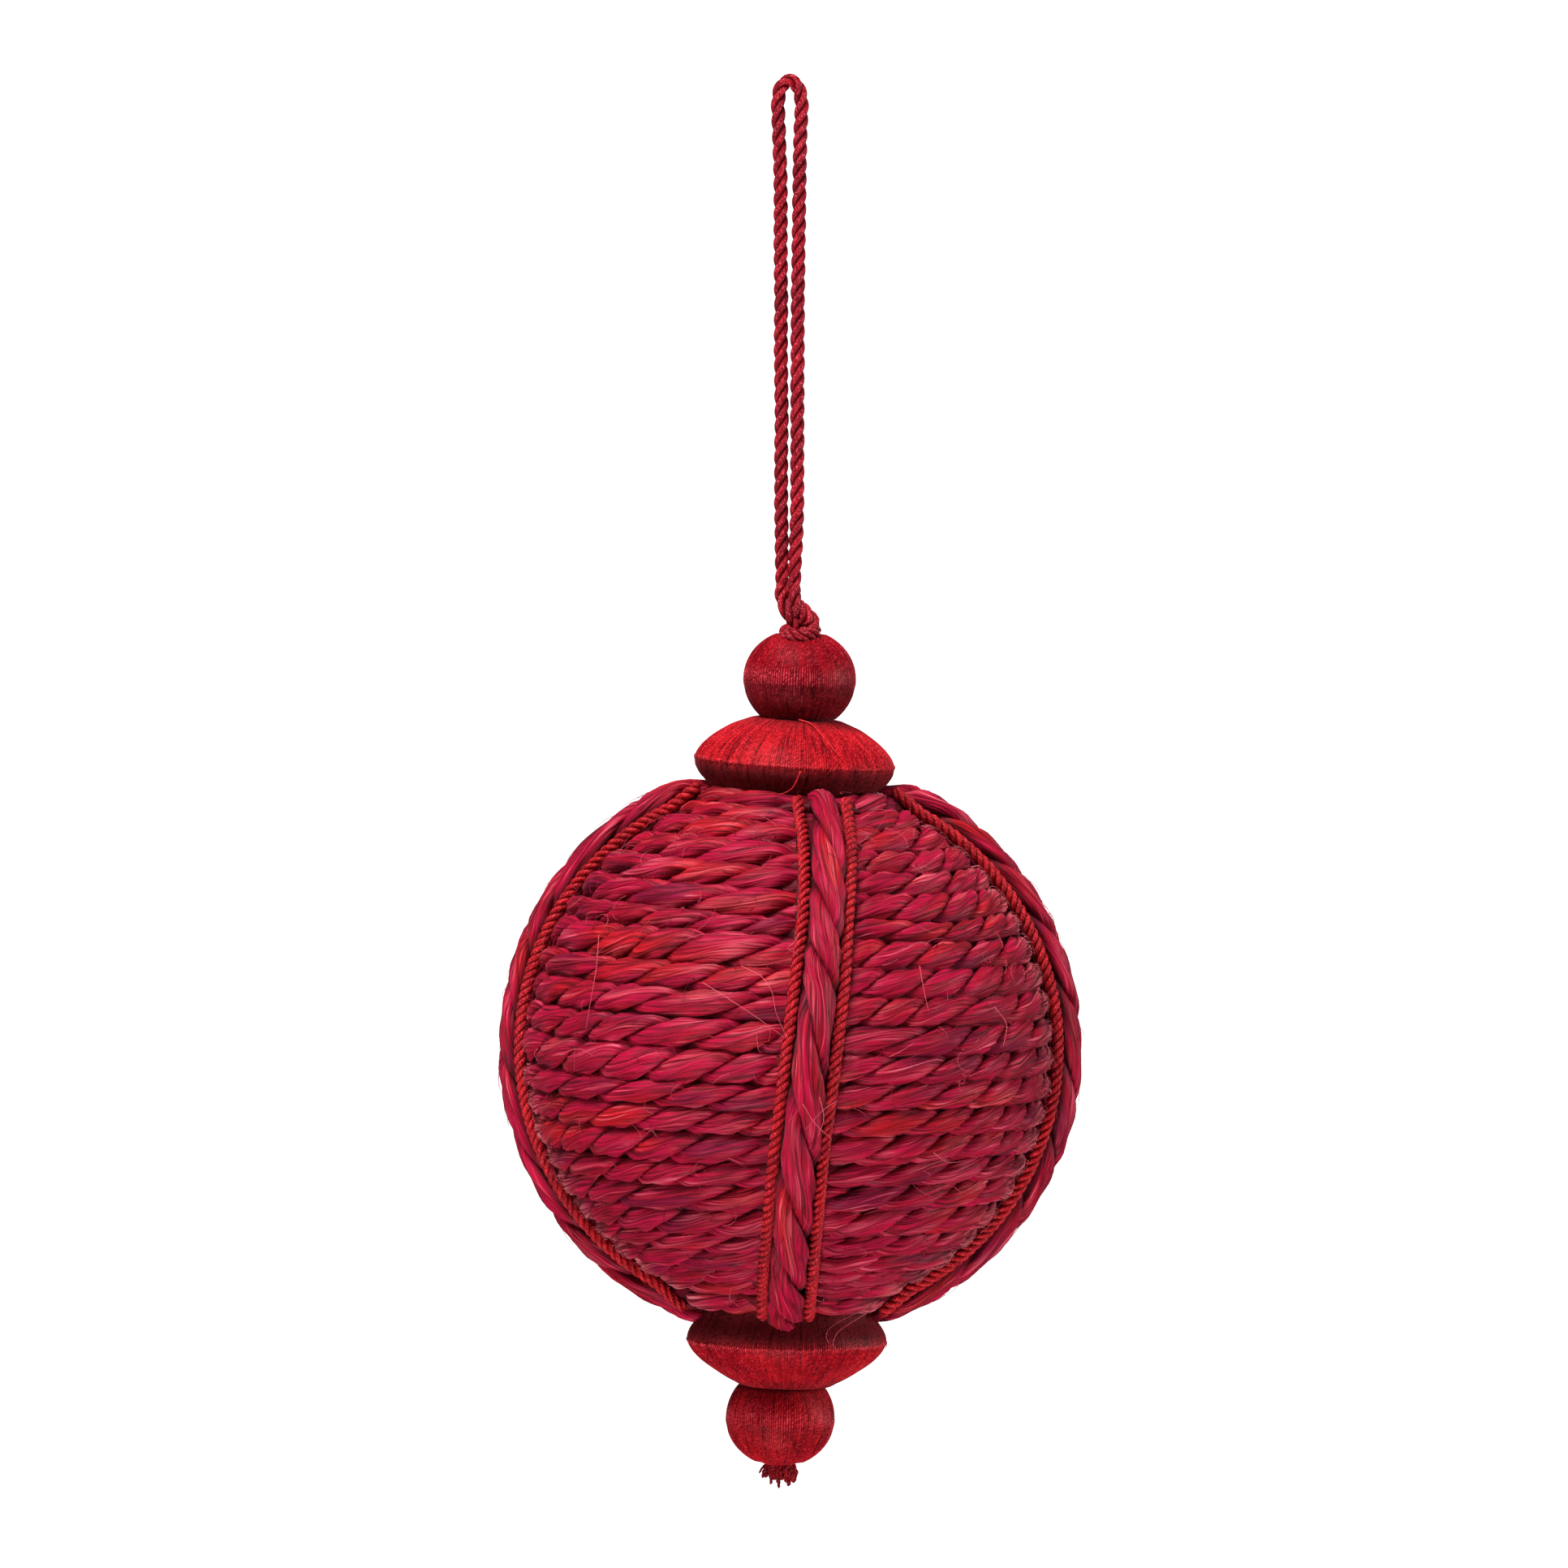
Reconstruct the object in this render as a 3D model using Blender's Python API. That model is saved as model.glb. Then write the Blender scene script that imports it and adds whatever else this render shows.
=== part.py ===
"""A hanging ball ornament, wound with rows of twisted jute rope.

The ball hangs from a loop of thin cord, knotted on top of a thread-wrapped bead.
A bead and a disc close the ball above and below, and the cord's frayed end shows
under the lower bead. Four ropes, each between two thin trim cords, run down the
ball from disc to disc. The origin is the inside of the loop's top, where the
ornament hangs. +Z is up, and the front faces -Y. Lengths are in metres.
"""

import math

import bmesh
import bpy
from mathutils import Vector

MM = 0.001

DOWN = Vector((0.0, 0.0, -1.0))

# Pieces that touch keep this much air between them.
CONTACT_GAP = 0.3 * MM

# The loop's cord, and the middle of its route: from the knot up, round the place
# where it hangs, and back down to the knot. The points are in millimetres.
CORD_DIAMETER = 2.5 * MM
# The tube has a point for each of these lengths or turns of the route.
CORD_STEP = 6.0 * MM
CORD_TURN_STEP = math.radians(24.0)
ROUTE_READINGS = 16
LOOP_ROUTE = (
    (-1.6, 0.3, -100.7), (-1.65, 0.25, -95.0), (-1.55, 0.1, -86.0), (-1.6, 0.0, -75.0),
    (-1.5, 0.1, -64.0), (-1.65, 0.15, -53.0), (-1.6, 0.0, -42.0), (-1.7, -0.1, -31.0),
    (-1.7, -0.1, -20.0), (-1.95, 0.0, -11.0), (-2.2, 0.0, -5.0), (-2.1, 0.0, -2.0),
    (-1.35, 0.0, 0.4), (0.05, 0.0, 1.25), (1.45, 0.0, 0.5), (2.3, 0.0, -2.0),
    (2.4, 0.0, -5.0), (2.15, 0.0, -11.0), (2.0, 0.1, -20.0), (1.85, 0.1, -31.0),
    (1.7, 0.0, -42.0), (1.65, -0.15, -53.0), (1.6, -0.1, -64.0), (1.55, 0.0, -75.0),
    (1.45, -0.1, -86.0), (1.45, -0.25, -95.0), (1.6, -0.3, -100.7),
)

# The knot's outline, from the bead up, in cord diameters: height, place across the
# bead's axis, half width and half depth. It is a wrapped turn, a curl and a neck.
KNOT_SECTIONS = (
    (0.0, 0.0, 1.30, 1.25), (0.3, 0.0, 1.62, 1.50), (0.65, 0.10, 1.55, 1.45),
    (1.0, 0.20, 1.38, 1.10), (1.35, 0.0, 1.54, 1.05), (1.75, -0.12, 1.54, 0.95),
    (2.1, -0.40, 1.35, 0.80), (2.4, -0.75, 1.20, 0.68), (2.76, -0.93, 1.17, 0.62),
)
KNOT_SIDES = 12

# The beads. The outer end of each has an eye for the cord, and its inner end sits
# on a disc. A reach is the height of the bead's half, as if it weren't cut flat.
TOP_BEAD_RADIUS = 11.0 * MM
TOP_BEAD_FACE_RADIUS = 7.2 * MM
BOTTOM_BEAD_RADIUS = 10.7 * MM
BOTTOM_BEAD_FACE_RADIUS = 8.6 * MM
BEAD_EYE_RADIUS = 5.1 * MM
BEAD_OUTER_REACH = 9.7 * MM
BEAD_INNER_REACH = 10.5 * MM
BEAD_SEGMENTS = 20
BEAD_STEPS = 7

# The discs. The domed side faces a bead, and the other side sits on the ball.
DISC_RADIUS = 19.9 * MM
DISC_FACE_MARGIN = 1.8 * MM
DISC_DOME_POWER = 1.7
TOP_DISC_DOME = 8.2 * MM
TOP_DISC_HEEL = 6.1 * MM
BOTTOM_DISC_DOME = 9.2 * MM
BOTTOM_DISC_HEEL = 7.5 * MM
HEEL_SHOULDER = 0.64
DISC_SEGMENTS = 28
DISC_STEPS = 5

# The ball, measured over the crests of its rows of rope.
BALL_RADIUS = 53.0 * MM
BALL_SEAT_RADIUS = 16.1 * MM
ROW_COUNT = 23
ROW_RELIEF = 1.7 * MM
ROW_CREST_WIDTH = 0.5
LOBE_COLUMNS = 32
LOBE_RELIEF = 0.6 * MM
LOBE_SLANT = 0.3

# The body leans a little to the right, and hangs to the right of the loop.
BODY_LEAN = math.radians(1.5)
BODY_SHIFT = 2.3 * MM

# The ropes over the rows: azimuths from the front, and how each one slants.
ROPE_NAMES = ("front", "right", "back", "left")
ROPE_AZIMUTHS = (4.0, 86.5, 180.0, 268.0)
# A slant and a bow are the degrees that a rope has turned at a latitude of 60.
ROPE_SLANTS = (5.6, 2.0, -3.0, -2.0)
ROPE_BOW = 2.6
SLANT_LATITUDE = math.radians(60.0)
ROPE_WIDTH = 6.6 * MM
ROPE_HEIGHT = 4.2 * MM
ROPE_TUCK = 0.7 * MM
ROPE_PITCH = 27.0 * MM
ROPE_CREASE = 0.26
ROPE_END_SCALE = 0.45
ROPE_END_LENGTH = 6.0 * MM
ROPE_SIDES = 8
ROPE_RINGS = 32
# How much the rings crowd towards the ends, where the rope is rounded off.
ROPE_CROWDING = 0.35

# The thin cords along both sides of each rope.
TRIM_DIAMETER = 2.4 * MM
TRIM_SETBACK = 1.9 * MM
TRIM_SIDES = 6
TRIM_RINGS = 11

# The cord's frayed end under the lower bead.
TUFT_HEIGHT = 4.2 * MM
TUFT_NECK_RADIUS = 2.7 * MM
TUFT_WAIST_RADIUS = 3.2 * MM
TUFT_WAIST_DEPTH = 1.7 * MM
TUFT_TIP_RADIUS = 4.2 * MM
TUFT_NOTCH_RADIUS = 2.6 * MM
TUFT_NOTCH_DEPTH = 3.2 * MM
TUFT_CORE_SHARE = 0.55
TUFT_TIPS = 7

# Colours, as linear red, green and blue.
JUTE_RED = (0.27, 0.012, 0.03)
ROPE_RED = (0.33, 0.016, 0.035)
THREAD_RED = (0.42, 0.015, 0.02)
CORD_RED = (0.3, 0.012, 0.02)

MATTE = 0.8
SATIN = 0.45


def clear_scene():
    for existing in list(bpy.data.objects):
        bpy.data.objects.remove(existing, do_unlink=True)


def make_material(name, colour, roughness):
    material = bpy.data.materials.new(name)
    material.use_nodes = True
    shader = material.node_tree.nodes["Principled BSDF"]
    shader.inputs["Base Color"].default_value = (*colour, 1.0)
    shader.inputs["Roughness"].default_value = roughness
    shader.inputs["Metallic"].default_value = 0.0
    return material


def add_piece(name, data, colour, roughness, parent=None, location=(0.0, 0.0, 0.0)):
    """Put a mesh or a curve in the scene under its own name and material."""
    data.materials.append(make_material(name, colour, roughness))
    piece = bpy.data.objects.new(name, data)
    bpy.context.scene.collection.objects.link(piece)
    piece.parent = parent
    piece.location = location
    return piece


def mesh_from_rings(name, rings):
    """Join rings of equally many points, first to last, and close both ends."""
    bm = bmesh.new()
    loops = []
    for ring in rings:
        loops.append([bm.verts.new(point) for point in ring])
    for near, far in zip(loops, loops[1:]):
        for i in range(len(near)):
            j = (i + 1) % len(near)
            bm.faces.new((near[i], near[j], far[j], far[i]))
    bm.faces.new(list(reversed(loops[0])))
    bm.faces.new(loops[-1])
    bmesh.ops.recalc_face_normals(bm, faces=bm.faces)
    mesh = bpy.data.meshes.new(name)
    bm.to_mesh(mesh)
    bm.free()
    mesh.shade_smooth()
    mesh.set_sharp_from_angle(angle=math.radians(50.0))
    return mesh


def turned_mesh(name, profile, segments):
    """Turn a profile of (radius, height) points about Z."""
    rings = []
    for radius, height in profile:
        ring = []
        for i in range(segments):
            turn = 2.0 * math.pi * i / segments
            ring.append(Vector((radius * math.sin(turn), -radius * math.cos(turn), height)))
        rings.append(ring)
    return mesh_from_rings(name, rings)


def upside_down(profile):
    return [(radius, -height) for radius, height in profile]


def bead_end(radius, face_radius, reach):
    """How far above or below its middle a bead is cut to a face of this radius."""
    return reach * math.sqrt(1.0 - (face_radius / radius) ** 2)


def bead_profile(radius, face_radius):
    """A bead about its middle, with its eye at the top and its face at the bottom."""
    first = math.asin(BEAD_EYE_RADIUS / radius)
    last = math.pi - math.asin(face_radius / radius)
    profile = []
    for i in range(BEAD_STEPS + 1):
        angle = first + (last - first) * i / BEAD_STEPS
        reach = BEAD_OUTER_REACH if angle < 0.5 * math.pi else BEAD_INNER_REACH
        profile.append((radius * math.sin(angle), reach * math.cos(angle)))
    return profile


def disc_profile(face_radius, dome, heel):
    """A disc about its rim, with its dome at the top and its seat at the bottom."""
    profile = []
    for i in range(DISC_STEPS + 1):
        share = i / DISC_STEPS
        radius = face_radius + (DISC_RADIUS - face_radius) * share
        profile.append((radius, dome * (1.0 - share**DISC_DOME_POWER)))
    shoulder = BALL_SEAT_RADIUS + (DISC_RADIUS - BALL_SEAT_RADIUS) * HEEL_SHOULDER
    profile.append((shoulder, -heel * HEEL_SHOULDER))
    profile.append((BALL_SEAT_RADIUS, -heel))
    return profile


def ball_point(polar, azimuth, radius):
    """A point at an angle from the top and an azimuth from the front."""
    flat = radius * math.sin(polar)
    return Vector((flat * math.sin(azimuth), -flat * math.cos(azimuth), radius * math.cos(polar)))


def row_crest(polar, shift, hollow_columns):
    """A ring along a row of rope, lower between the lobes of its strands."""
    column = 2.0 * math.pi / LOBE_COLUMNS
    ring = []
    for i in range(LOBE_COLUMNS):
        radius = BALL_RADIUS
        if i in hollow_columns:
            radius -= LOBE_RELIEF
        ring.append(ball_point(polar, (i + shift) * column, radius))
    return ring


def ball_mesh(name):
    """The ball: a swelling for each row of rope, with lobes that lean as strands do."""
    seat_angle = math.asin(BALL_SEAT_RADIUS / BALL_RADIUS)
    row_angle = (math.pi - 2.0 * seat_angle) / ROW_COUNT
    crest_inset = 0.5 * (1.0 - ROW_CREST_WIDTH) * row_angle
    rings = [row_crest(seat_angle, LOBE_SLANT, ())]
    for row in range(ROW_COUNT):
        top = seat_angle + row * row_angle
        bottom = top + row_angle
        hollows = range((row + 1) % 2, LOBE_COLUMNS, 2)
        if row > 0:
            rings.append(row_crest(top + crest_inset, LOBE_SLANT, hollows))
        if row < ROW_COUNT - 1:
            rings.append(row_crest(bottom - crest_inset, -LOBE_SLANT, hollows))
            crease = row_crest(bottom, 0.0, ())
            rings.append([point * (1.0 - ROW_RELIEF / BALL_RADIUS) for point in crease])
    rings.append(row_crest(math.pi - seat_angle, -LOBE_SLANT, ()))
    return mesh_from_rings(name, rings)


def rope_azimuth(polar, azimuth, slant):
    """Where a rope runs: it slants down the ball and bows out towards the poles."""
    share = (0.5 * math.pi - polar) / SLANT_LATITUDE
    return math.radians(azimuth + slant * share + ROPE_BOW * share * share)


def rope_frame(polar, azimuth, slant):
    """The outward and sideways directions of a rope at an angle from the top."""
    further = polar + math.radians(0.1)
    here = ball_point(polar, rope_azimuth(polar, azimuth, slant), 1.0)
    after = ball_point(further, rope_azimuth(further, azimuth, slant), 1.0)
    sideways = here.cross(after - here).normalized()
    return here, sideways


def rope_end_angle():
    """The rope's end tucks under the disc's rim, and stays off the disc's seat."""
    outer_radius = BALL_RADIUS + CONTACT_GAP + ROPE_HEIGHT
    under_rim = math.asin((DISC_RADIUS - ROPE_TUCK) / outer_radius)
    beside_seat = math.asin((BALL_SEAT_RADIUS + ROPE_TUCK) / BALL_RADIUS)
    return max(under_rim, beside_seat)


def rope_mesh(name, azimuth, slant):
    """A rope of two strands, pressed flat on the rows, with rounded ends."""
    middle_radius = BALL_RADIUS + CONTACT_GAP + 0.5 * ROPE_HEIGHT
    start = rope_end_angle()
    travel = math.pi - 2.0 * start
    length = travel * middle_radius
    rings = []
    for k in range(ROPE_RINGS):
        even = k / (ROPE_RINGS - 1)
        crowded = 0.5 - 0.5 * math.cos(math.pi * even)
        share = even + ROPE_CROWDING * (crowded - even)
        outward, sideways = rope_frame(start + travel * share, azimuth, slant)
        to_end = min(1.0, min(share, 1.0 - share) * length / ROPE_END_LENGTH)
        rounding = math.sqrt(1.0 - (1.0 - to_end) ** 2)
        scale = ROPE_END_SCALE + (1.0 - ROPE_END_SCALE) * rounding
        twist = 2.0 * math.pi * share * length / ROPE_PITCH
        ring = []
        for i in range(ROPE_SIDES):
            turn = 2.0 * math.pi * i / ROPE_SIDES
            strand = scale * (1.0 - ROPE_CREASE * math.sin(turn + twist) ** 4)
            across = 0.5 * ROPE_WIDTH * math.cos(turn) * strand
            raised = 0.5 * ROPE_HEIGHT * math.sin(turn) * strand
            ring.append(outward * (middle_radius + raised) + sideways * across)
        rings.append(ring)
    return mesh_from_rings(name, rings)


def trim_mesh(name, azimuth, slant, side):
    """A thin cord that follows a rope, on its left or its right."""
    middle_radius = BALL_RADIUS + CONTACT_GAP + 0.5 * TRIM_DIAMETER
    spacing = 0.5 * ROPE_WIDTH + CONTACT_GAP + 0.5 * TRIM_DIAMETER
    swing = side * spacing / middle_radius
    start = rope_end_angle() + TRIM_SETBACK / BALL_RADIUS
    travel = math.pi - 2.0 * start
    rings = []
    for k in range(TRIM_RINGS):
        outward, sideways = rope_frame(start + travel * k / (TRIM_RINGS - 1), azimuth, slant)
        out = outward * math.cos(swing) + sideways * math.sin(swing)
        across = sideways * math.cos(swing) - outward * math.sin(swing)
        ring = []
        for i in range(TRIM_SIDES):
            turn = 2.0 * math.pi * i / TRIM_SIDES
            reach = out * math.sin(turn) + across * math.cos(turn)
            ring.append(out * middle_radius + reach * 0.5 * TRIM_DIAMETER)
        rings.append(ring)
    return mesh_from_rings(name, rings)


def knot_mesh(name):
    """The knot above its seat on the top bead."""
    rings = []
    for height, across, half_width, half_depth in KNOT_SECTIONS:
        ring = []
        for i in range(KNOT_SIDES):
            turn = 2.0 * math.pi * i / KNOT_SIDES
            x = across + half_width * math.cos(turn)
            y = half_depth * math.sin(turn)
            ring.append(Vector((x, y, height)) * CORD_DIAMETER)
        rings.append(ring)
    return mesh_from_rings(name, rings)


def tuft_mesh(name):
    """The frayed end below its neck, with tips that fan out."""
    neck = []
    waist = []
    fringe = []
    for i in range(2 * TUFT_TIPS):
        turn = math.pi * i / TUFT_TIPS
        way = Vector((math.cos(turn), math.sin(turn), 0.0))
        neck.append(way * TUFT_NECK_RADIUS)
        waist.append(way * TUFT_WAIST_RADIUS + DOWN * TUFT_WAIST_DEPTH)
        if i % 2 == 0:
            fringe.append(way * TUFT_TIP_RADIUS + DOWN * TUFT_HEIGHT)
        else:
            fringe.append(way * TUFT_NOTCH_RADIUS + DOWN * TUFT_NOTCH_DEPTH)
    core = [point.lerp(DOWN * TUFT_HEIGHT, TUFT_CORE_SHARE) for point in fringe]
    return mesh_from_rings(name, [neck, waist, fringe, core])


def smooth_route():
    """Read the cord's points from a smooth curve, closer together where it bends."""
    route = [Vector(point) * MM for point in LOOP_ROUTE]
    fine = []
    for i in range(len(route) - 1):
        before = route[max(i - 1, 0)]
        start = route[i]
        end = route[i + 1]
        after = route[min(i + 2, len(route) - 1)]
        for k in range(ROUTE_READINGS):
            t = k / ROUTE_READINGS
            bend = (2.0 * before - 5.0 * start + 4.0 * end - after) * t * t
            twist = (3.0 * start - before - 3.0 * end + after) * t * t * t
            fine.append(0.5 * (2.0 * start + (end - before) * t + bend + twist))
    fine.append(route[-1])
    chosen = [fine[0]]
    travelled = 0.0
    for before, here, after in zip(fine, fine[1:], fine[2:]):
        travelled += (here - before).length / CORD_STEP
        travelled += (here - before).angle(after - here) / CORD_TURN_STEP
        if travelled >= 1.0:
            chosen.append(here)
            travelled = 0.0
    if (fine[-1] - chosen[-1]).length < 0.5 * CORD_STEP:
        chosen.pop()
    chosen.append(fine[-1])
    return chosen


def loop_curve(name):
    """The loop as a round tube along its smooth route."""
    points = smooth_route()
    curve = bpy.data.curves.new(name, "CURVE")
    curve.dimensions = "3D"
    curve.bevel_depth = 0.5 * CORD_DIAMETER
    curve.bevel_resolution = 2
    curve.use_fill_caps = True
    spline = curve.splines.new("POLY")
    spline.points.add(len(points) - 1)
    for spline_point, point in zip(spline.points, points):
        spline_point.co = (*point, 1.0)
    return curve


def add_bead_and_disc(prefix, body, place, way, radius, face_radius, dome, heel):
    """Stack a bead and a disc from the cord towards the ball, and return the depth.

    way is 1 above the ball, where the bead's eye is up, and -1 below it.
    """
    eye_height = bead_end(radius, BEAD_EYE_RADIUS, BEAD_OUTER_REACH)
    face_depth = bead_end(radius, face_radius, BEAD_INNER_REACH)
    bead = bead_profile(radius, face_radius)
    disc = disc_profile(face_radius + DISC_FACE_MARGIN, dome, heel)
    if way < 0:
        bead = upside_down(bead)
        disc = upside_down(disc)
    bead_middle = place + way * (heel + dome + CONTACT_GAP + face_depth)
    disc_rim = place + way * heel
    add_piece(prefix + "_bead", turned_mesh(prefix + "_bead", bead, BEAD_SEGMENTS),
              THREAD_RED, SATIN, body, (0.0, 0.0, bead_middle))
    add_piece(prefix + "_disc", turned_mesh(prefix + "_disc", disc, DISC_SEGMENTS),
              THREAD_RED, SATIN, body, (0.0, 0.0, disc_rim))
    return bead_middle + way * eye_height


def build_loop_and_knot():
    """The cord from which the ornament hangs. Returns the place of the knot's seat."""
    add_piece("hanging_loop", loop_curve("hanging_loop"), CORD_RED, SATIN)
    knot_top = LOOP_ROUTE[0][2] * MM - CONTACT_GAP
    knot_bottom = knot_top - KNOT_SECTIONS[-1][0] * CORD_DIAMETER
    place = Vector((BODY_SHIFT, 0.0, knot_bottom))
    add_piece("hanging_knot", knot_mesh("hanging_knot"), CORD_RED, SATIN, None, place)
    return place + DOWN * CONTACT_GAP


def build_body(bead_top):
    """The ball with all that it carries, leaning as one about its middle."""
    body = bpy.data.objects.new("body_axis", None)
    bpy.context.scene.collection.objects.link(body)
    add_piece("jute_ball", ball_mesh("jute_ball"), JUTE_RED, MATTE, body)
    seat_height = math.sqrt(BALL_RADIUS**2 - BALL_SEAT_RADIUS**2) + CONTACT_GAP
    top = add_bead_and_disc("top", body, seat_height, 1, TOP_BEAD_RADIUS,
                            TOP_BEAD_FACE_RADIUS, TOP_DISC_DOME, TOP_DISC_HEEL)
    bottom = add_bead_and_disc("bottom", body, -seat_height, -1, BOTTOM_BEAD_RADIUS,
                               BOTTOM_BEAD_FACE_RADIUS, BOTTOM_DISC_DOME, BOTTOM_DISC_HEEL)
    add_piece("frayed_end", tuft_mesh("frayed_end"), CORD_RED, SATIN, body,
              (0.0, 0.0, bottom - CONTACT_GAP))
    for name, azimuth, slant in zip(ROPE_NAMES, ROPE_AZIMUTHS, ROPE_SLANTS):
        rope = "meridian_rope_" + name
        add_piece(rope, rope_mesh(rope, azimuth, slant), ROPE_RED, MATTE, body)
        for side_name, side in (("a", -1), ("b", 1)):
            trim = "trim_cord_" + name + "_" + side_name
            add_piece(trim, trim_mesh(trim, azimuth, slant, side), CORD_RED, SATIN, body)
    lean = Vector((math.sin(BODY_LEAN), 0.0, math.cos(BODY_LEAN)))
    body.location = bead_top - lean * top
    body.rotation_euler = (0.0, BODY_LEAN, 0.0)


clear_scene()
build_body(build_loop_and_knot())
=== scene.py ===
# %% [markdown]
# # A hanging ball wound with jute rope
# This lesson dresses a plain model of a red hanging ornament, so that it looks made
# of dyed jute and satin thread. The plain model comes first, as a fixed frame: every
# piece made here lies where the frame says, at its real size.

# %% Load the frame
import math

import bpy
import numpy as np
from mathutils import Matrix, Vector


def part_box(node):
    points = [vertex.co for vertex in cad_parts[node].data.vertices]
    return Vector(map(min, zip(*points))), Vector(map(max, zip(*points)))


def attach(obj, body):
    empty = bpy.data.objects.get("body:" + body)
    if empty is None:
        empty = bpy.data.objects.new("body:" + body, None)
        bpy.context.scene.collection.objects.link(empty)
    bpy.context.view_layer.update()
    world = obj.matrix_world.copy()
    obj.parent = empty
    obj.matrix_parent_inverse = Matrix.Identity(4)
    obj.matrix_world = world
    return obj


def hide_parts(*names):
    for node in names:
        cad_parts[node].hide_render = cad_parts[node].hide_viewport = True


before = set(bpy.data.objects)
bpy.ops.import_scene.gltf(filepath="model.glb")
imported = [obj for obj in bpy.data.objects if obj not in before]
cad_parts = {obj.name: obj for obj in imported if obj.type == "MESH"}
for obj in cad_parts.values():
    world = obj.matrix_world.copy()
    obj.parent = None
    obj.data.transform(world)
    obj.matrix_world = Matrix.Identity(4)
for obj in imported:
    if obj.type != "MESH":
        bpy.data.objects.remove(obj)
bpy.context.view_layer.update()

MM = 0.001
CM = 0.01
BODY = "root"
print("the frame has", len(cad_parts), "nodes")

# %% [markdown]
# The ball, beads and discs share one axis, which leans a little to the right. The
# lean could be typed in again, but the frame already holds it: the line through the
# middles of the two beads is the axis. `on_body` turns places measured from the
# ball's middle, with +Z along that axis, into places in the frame.

# %% Find the axis of the ball
def node_middle(node):
    low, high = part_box(node)
    return (Vector(low) + Vector(high)) / 2


BALL_RADIUS = 53.0 * MM
ball_middle = node_middle("jute_ball")
bead_line = node_middle("top_bead") - node_middle("bottom_bead")
LEAN = math.atan2(bead_line.x, bead_line.z)
BODY_PLACE = Matrix.Translation(ball_middle) @ Matrix.Rotation(LEAN, 4, "Y")
body_turn = np.array(BODY_PLACE.to_3x3())


def on_body(points):
    return np.asarray(points) @ body_turn.T + np.array(ball_middle)


print("the axis leans", round(math.degrees(LEAN), 2), "degrees")

# %% [markdown]
# The photograph is taken with a long lens from about three metres, a little above
# the ball. Such a lens keeps the ball round and its rows nearly level, which a wide
# lens close by would not. A camera in Blender looks along its own -Z, so it is first
# turned up by a right angle and then tipped down.

# %% Place the camera
CAMERA_DISTANCE = 3.003
CAMERA_TIP = math.radians(3.5)
VIEW_MIDDLE = Vector((-1.04, 0.0, -137.8)) * MM
LENS_MM = 348.4
SENSOR_MM = 36.0

camera_data = bpy.data.cameras.new("camera")
camera_data.lens = LENS_MM
camera_data.sensor_width = SENSOR_MM
camera_data.clip_start = 0.1
camera_data.clip_end = 50.0
camera = bpy.data.objects.new("camera", camera_data)
bpy.context.scene.collection.objects.link(camera)
back = Vector((0.0, -math.cos(CAMERA_TIP), math.sin(CAMERA_TIP)))
camera.location = VIEW_MIDDLE + back * CAMERA_DISTANCE
camera.rotation_euler = (math.radians(90.0) - CAMERA_TIP, 0.0, 0.0)
bpy.context.scene.camera = camera
print("camera at", [round(value, 3) for value in camera.location])

# %% [markdown]
# The room is one pale shell: a floor far below the ornament that curves up into a
# wall all round and closes above, so no corner shows from any side. It is an outline
# that is spun, as a potter turns a jar. The shell glows a little to read as clean
# studio white, and it is kept out of the light that reaches the ornament, which
# would otherwise lose the dark undersides that the real one has.

# %% Turn the floor and the wall
FLOOR_DEPTH = 3.6
ROOM_RADIUS = 7.0
ROOM_CORNER = 2.5
ROOM_HEIGHT = 3.0
QUARTER_TURN = [math.radians(90.0) * step / 12 for step in range(13)]


def turn_outline(name, outline, steps):
    """Draw half an outline by extruding a point from place to place, then spin it."""
    bpy.ops.object.select_all(action="DESELECT")
    bpy.ops.mesh.primitive_plane_add(size=MM)
    piece = bpy.context.object
    piece.name = name
    piece.data.name = name
    bpy.ops.object.mode_set(mode="EDIT")
    bpy.ops.mesh.merge(type="CENTER")
    radius, height = outline[0]
    bpy.ops.transform.translate(value=(radius, 0.0, height))
    for (radius, height), (next_radius, next_height) in zip(outline, outline[1:]):
        step = (next_radius - radius, 0.0, next_height - height)
        bpy.ops.mesh.extrude_region_move(TRANSFORM_OT_translate={"value": step})
    bpy.ops.mesh.select_all(action="SELECT")
    bpy.ops.mesh.spin(steps=steps, angle=2.0 * math.pi, center=(0, 0, 0), axis=(0, 0, 1))
    bpy.ops.mesh.select_all(action="SELECT")
    bpy.ops.mesh.remove_doubles(threshold=0.001 * MM)
    bpy.ops.mesh.normals_make_consistent(inside=False)
    bpy.ops.object.mode_set(mode="OBJECT")
    piece.data.shade_smooth()
    return piece


room_outline = [(0.0, -FLOOR_DEPTH)]
room_outline += [(ROOM_RADIUS - ROOM_CORNER + ROOM_CORNER * math.sin(turn),
                  ROOM_CORNER - FLOOR_DEPTH - ROOM_CORNER * math.cos(turn))
                 for turn in QUARTER_TURN]
room_outline += [(ROOM_RADIUS * math.cos(turn), ROOM_HEIGHT + ROOM_RADIUS * math.sin(turn))
                 for turn in QUARTER_TURN]
room = turn_outline("studio_room", room_outline, 64)
room.visible_diffuse = False
room.visible_glossy = False
room.visible_shadow = False
print("room of", len(room.data.polygons), "faces")

# %% [markdown]
# Finishes are made of nodes. Maths on nodes is easier to read as a sum than as a
# chain of boxes, so `Wire` wraps a socket and gives it +, - and *, and each use adds
# a Math node. `Finish` holds one material and adds all other nodes.

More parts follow.
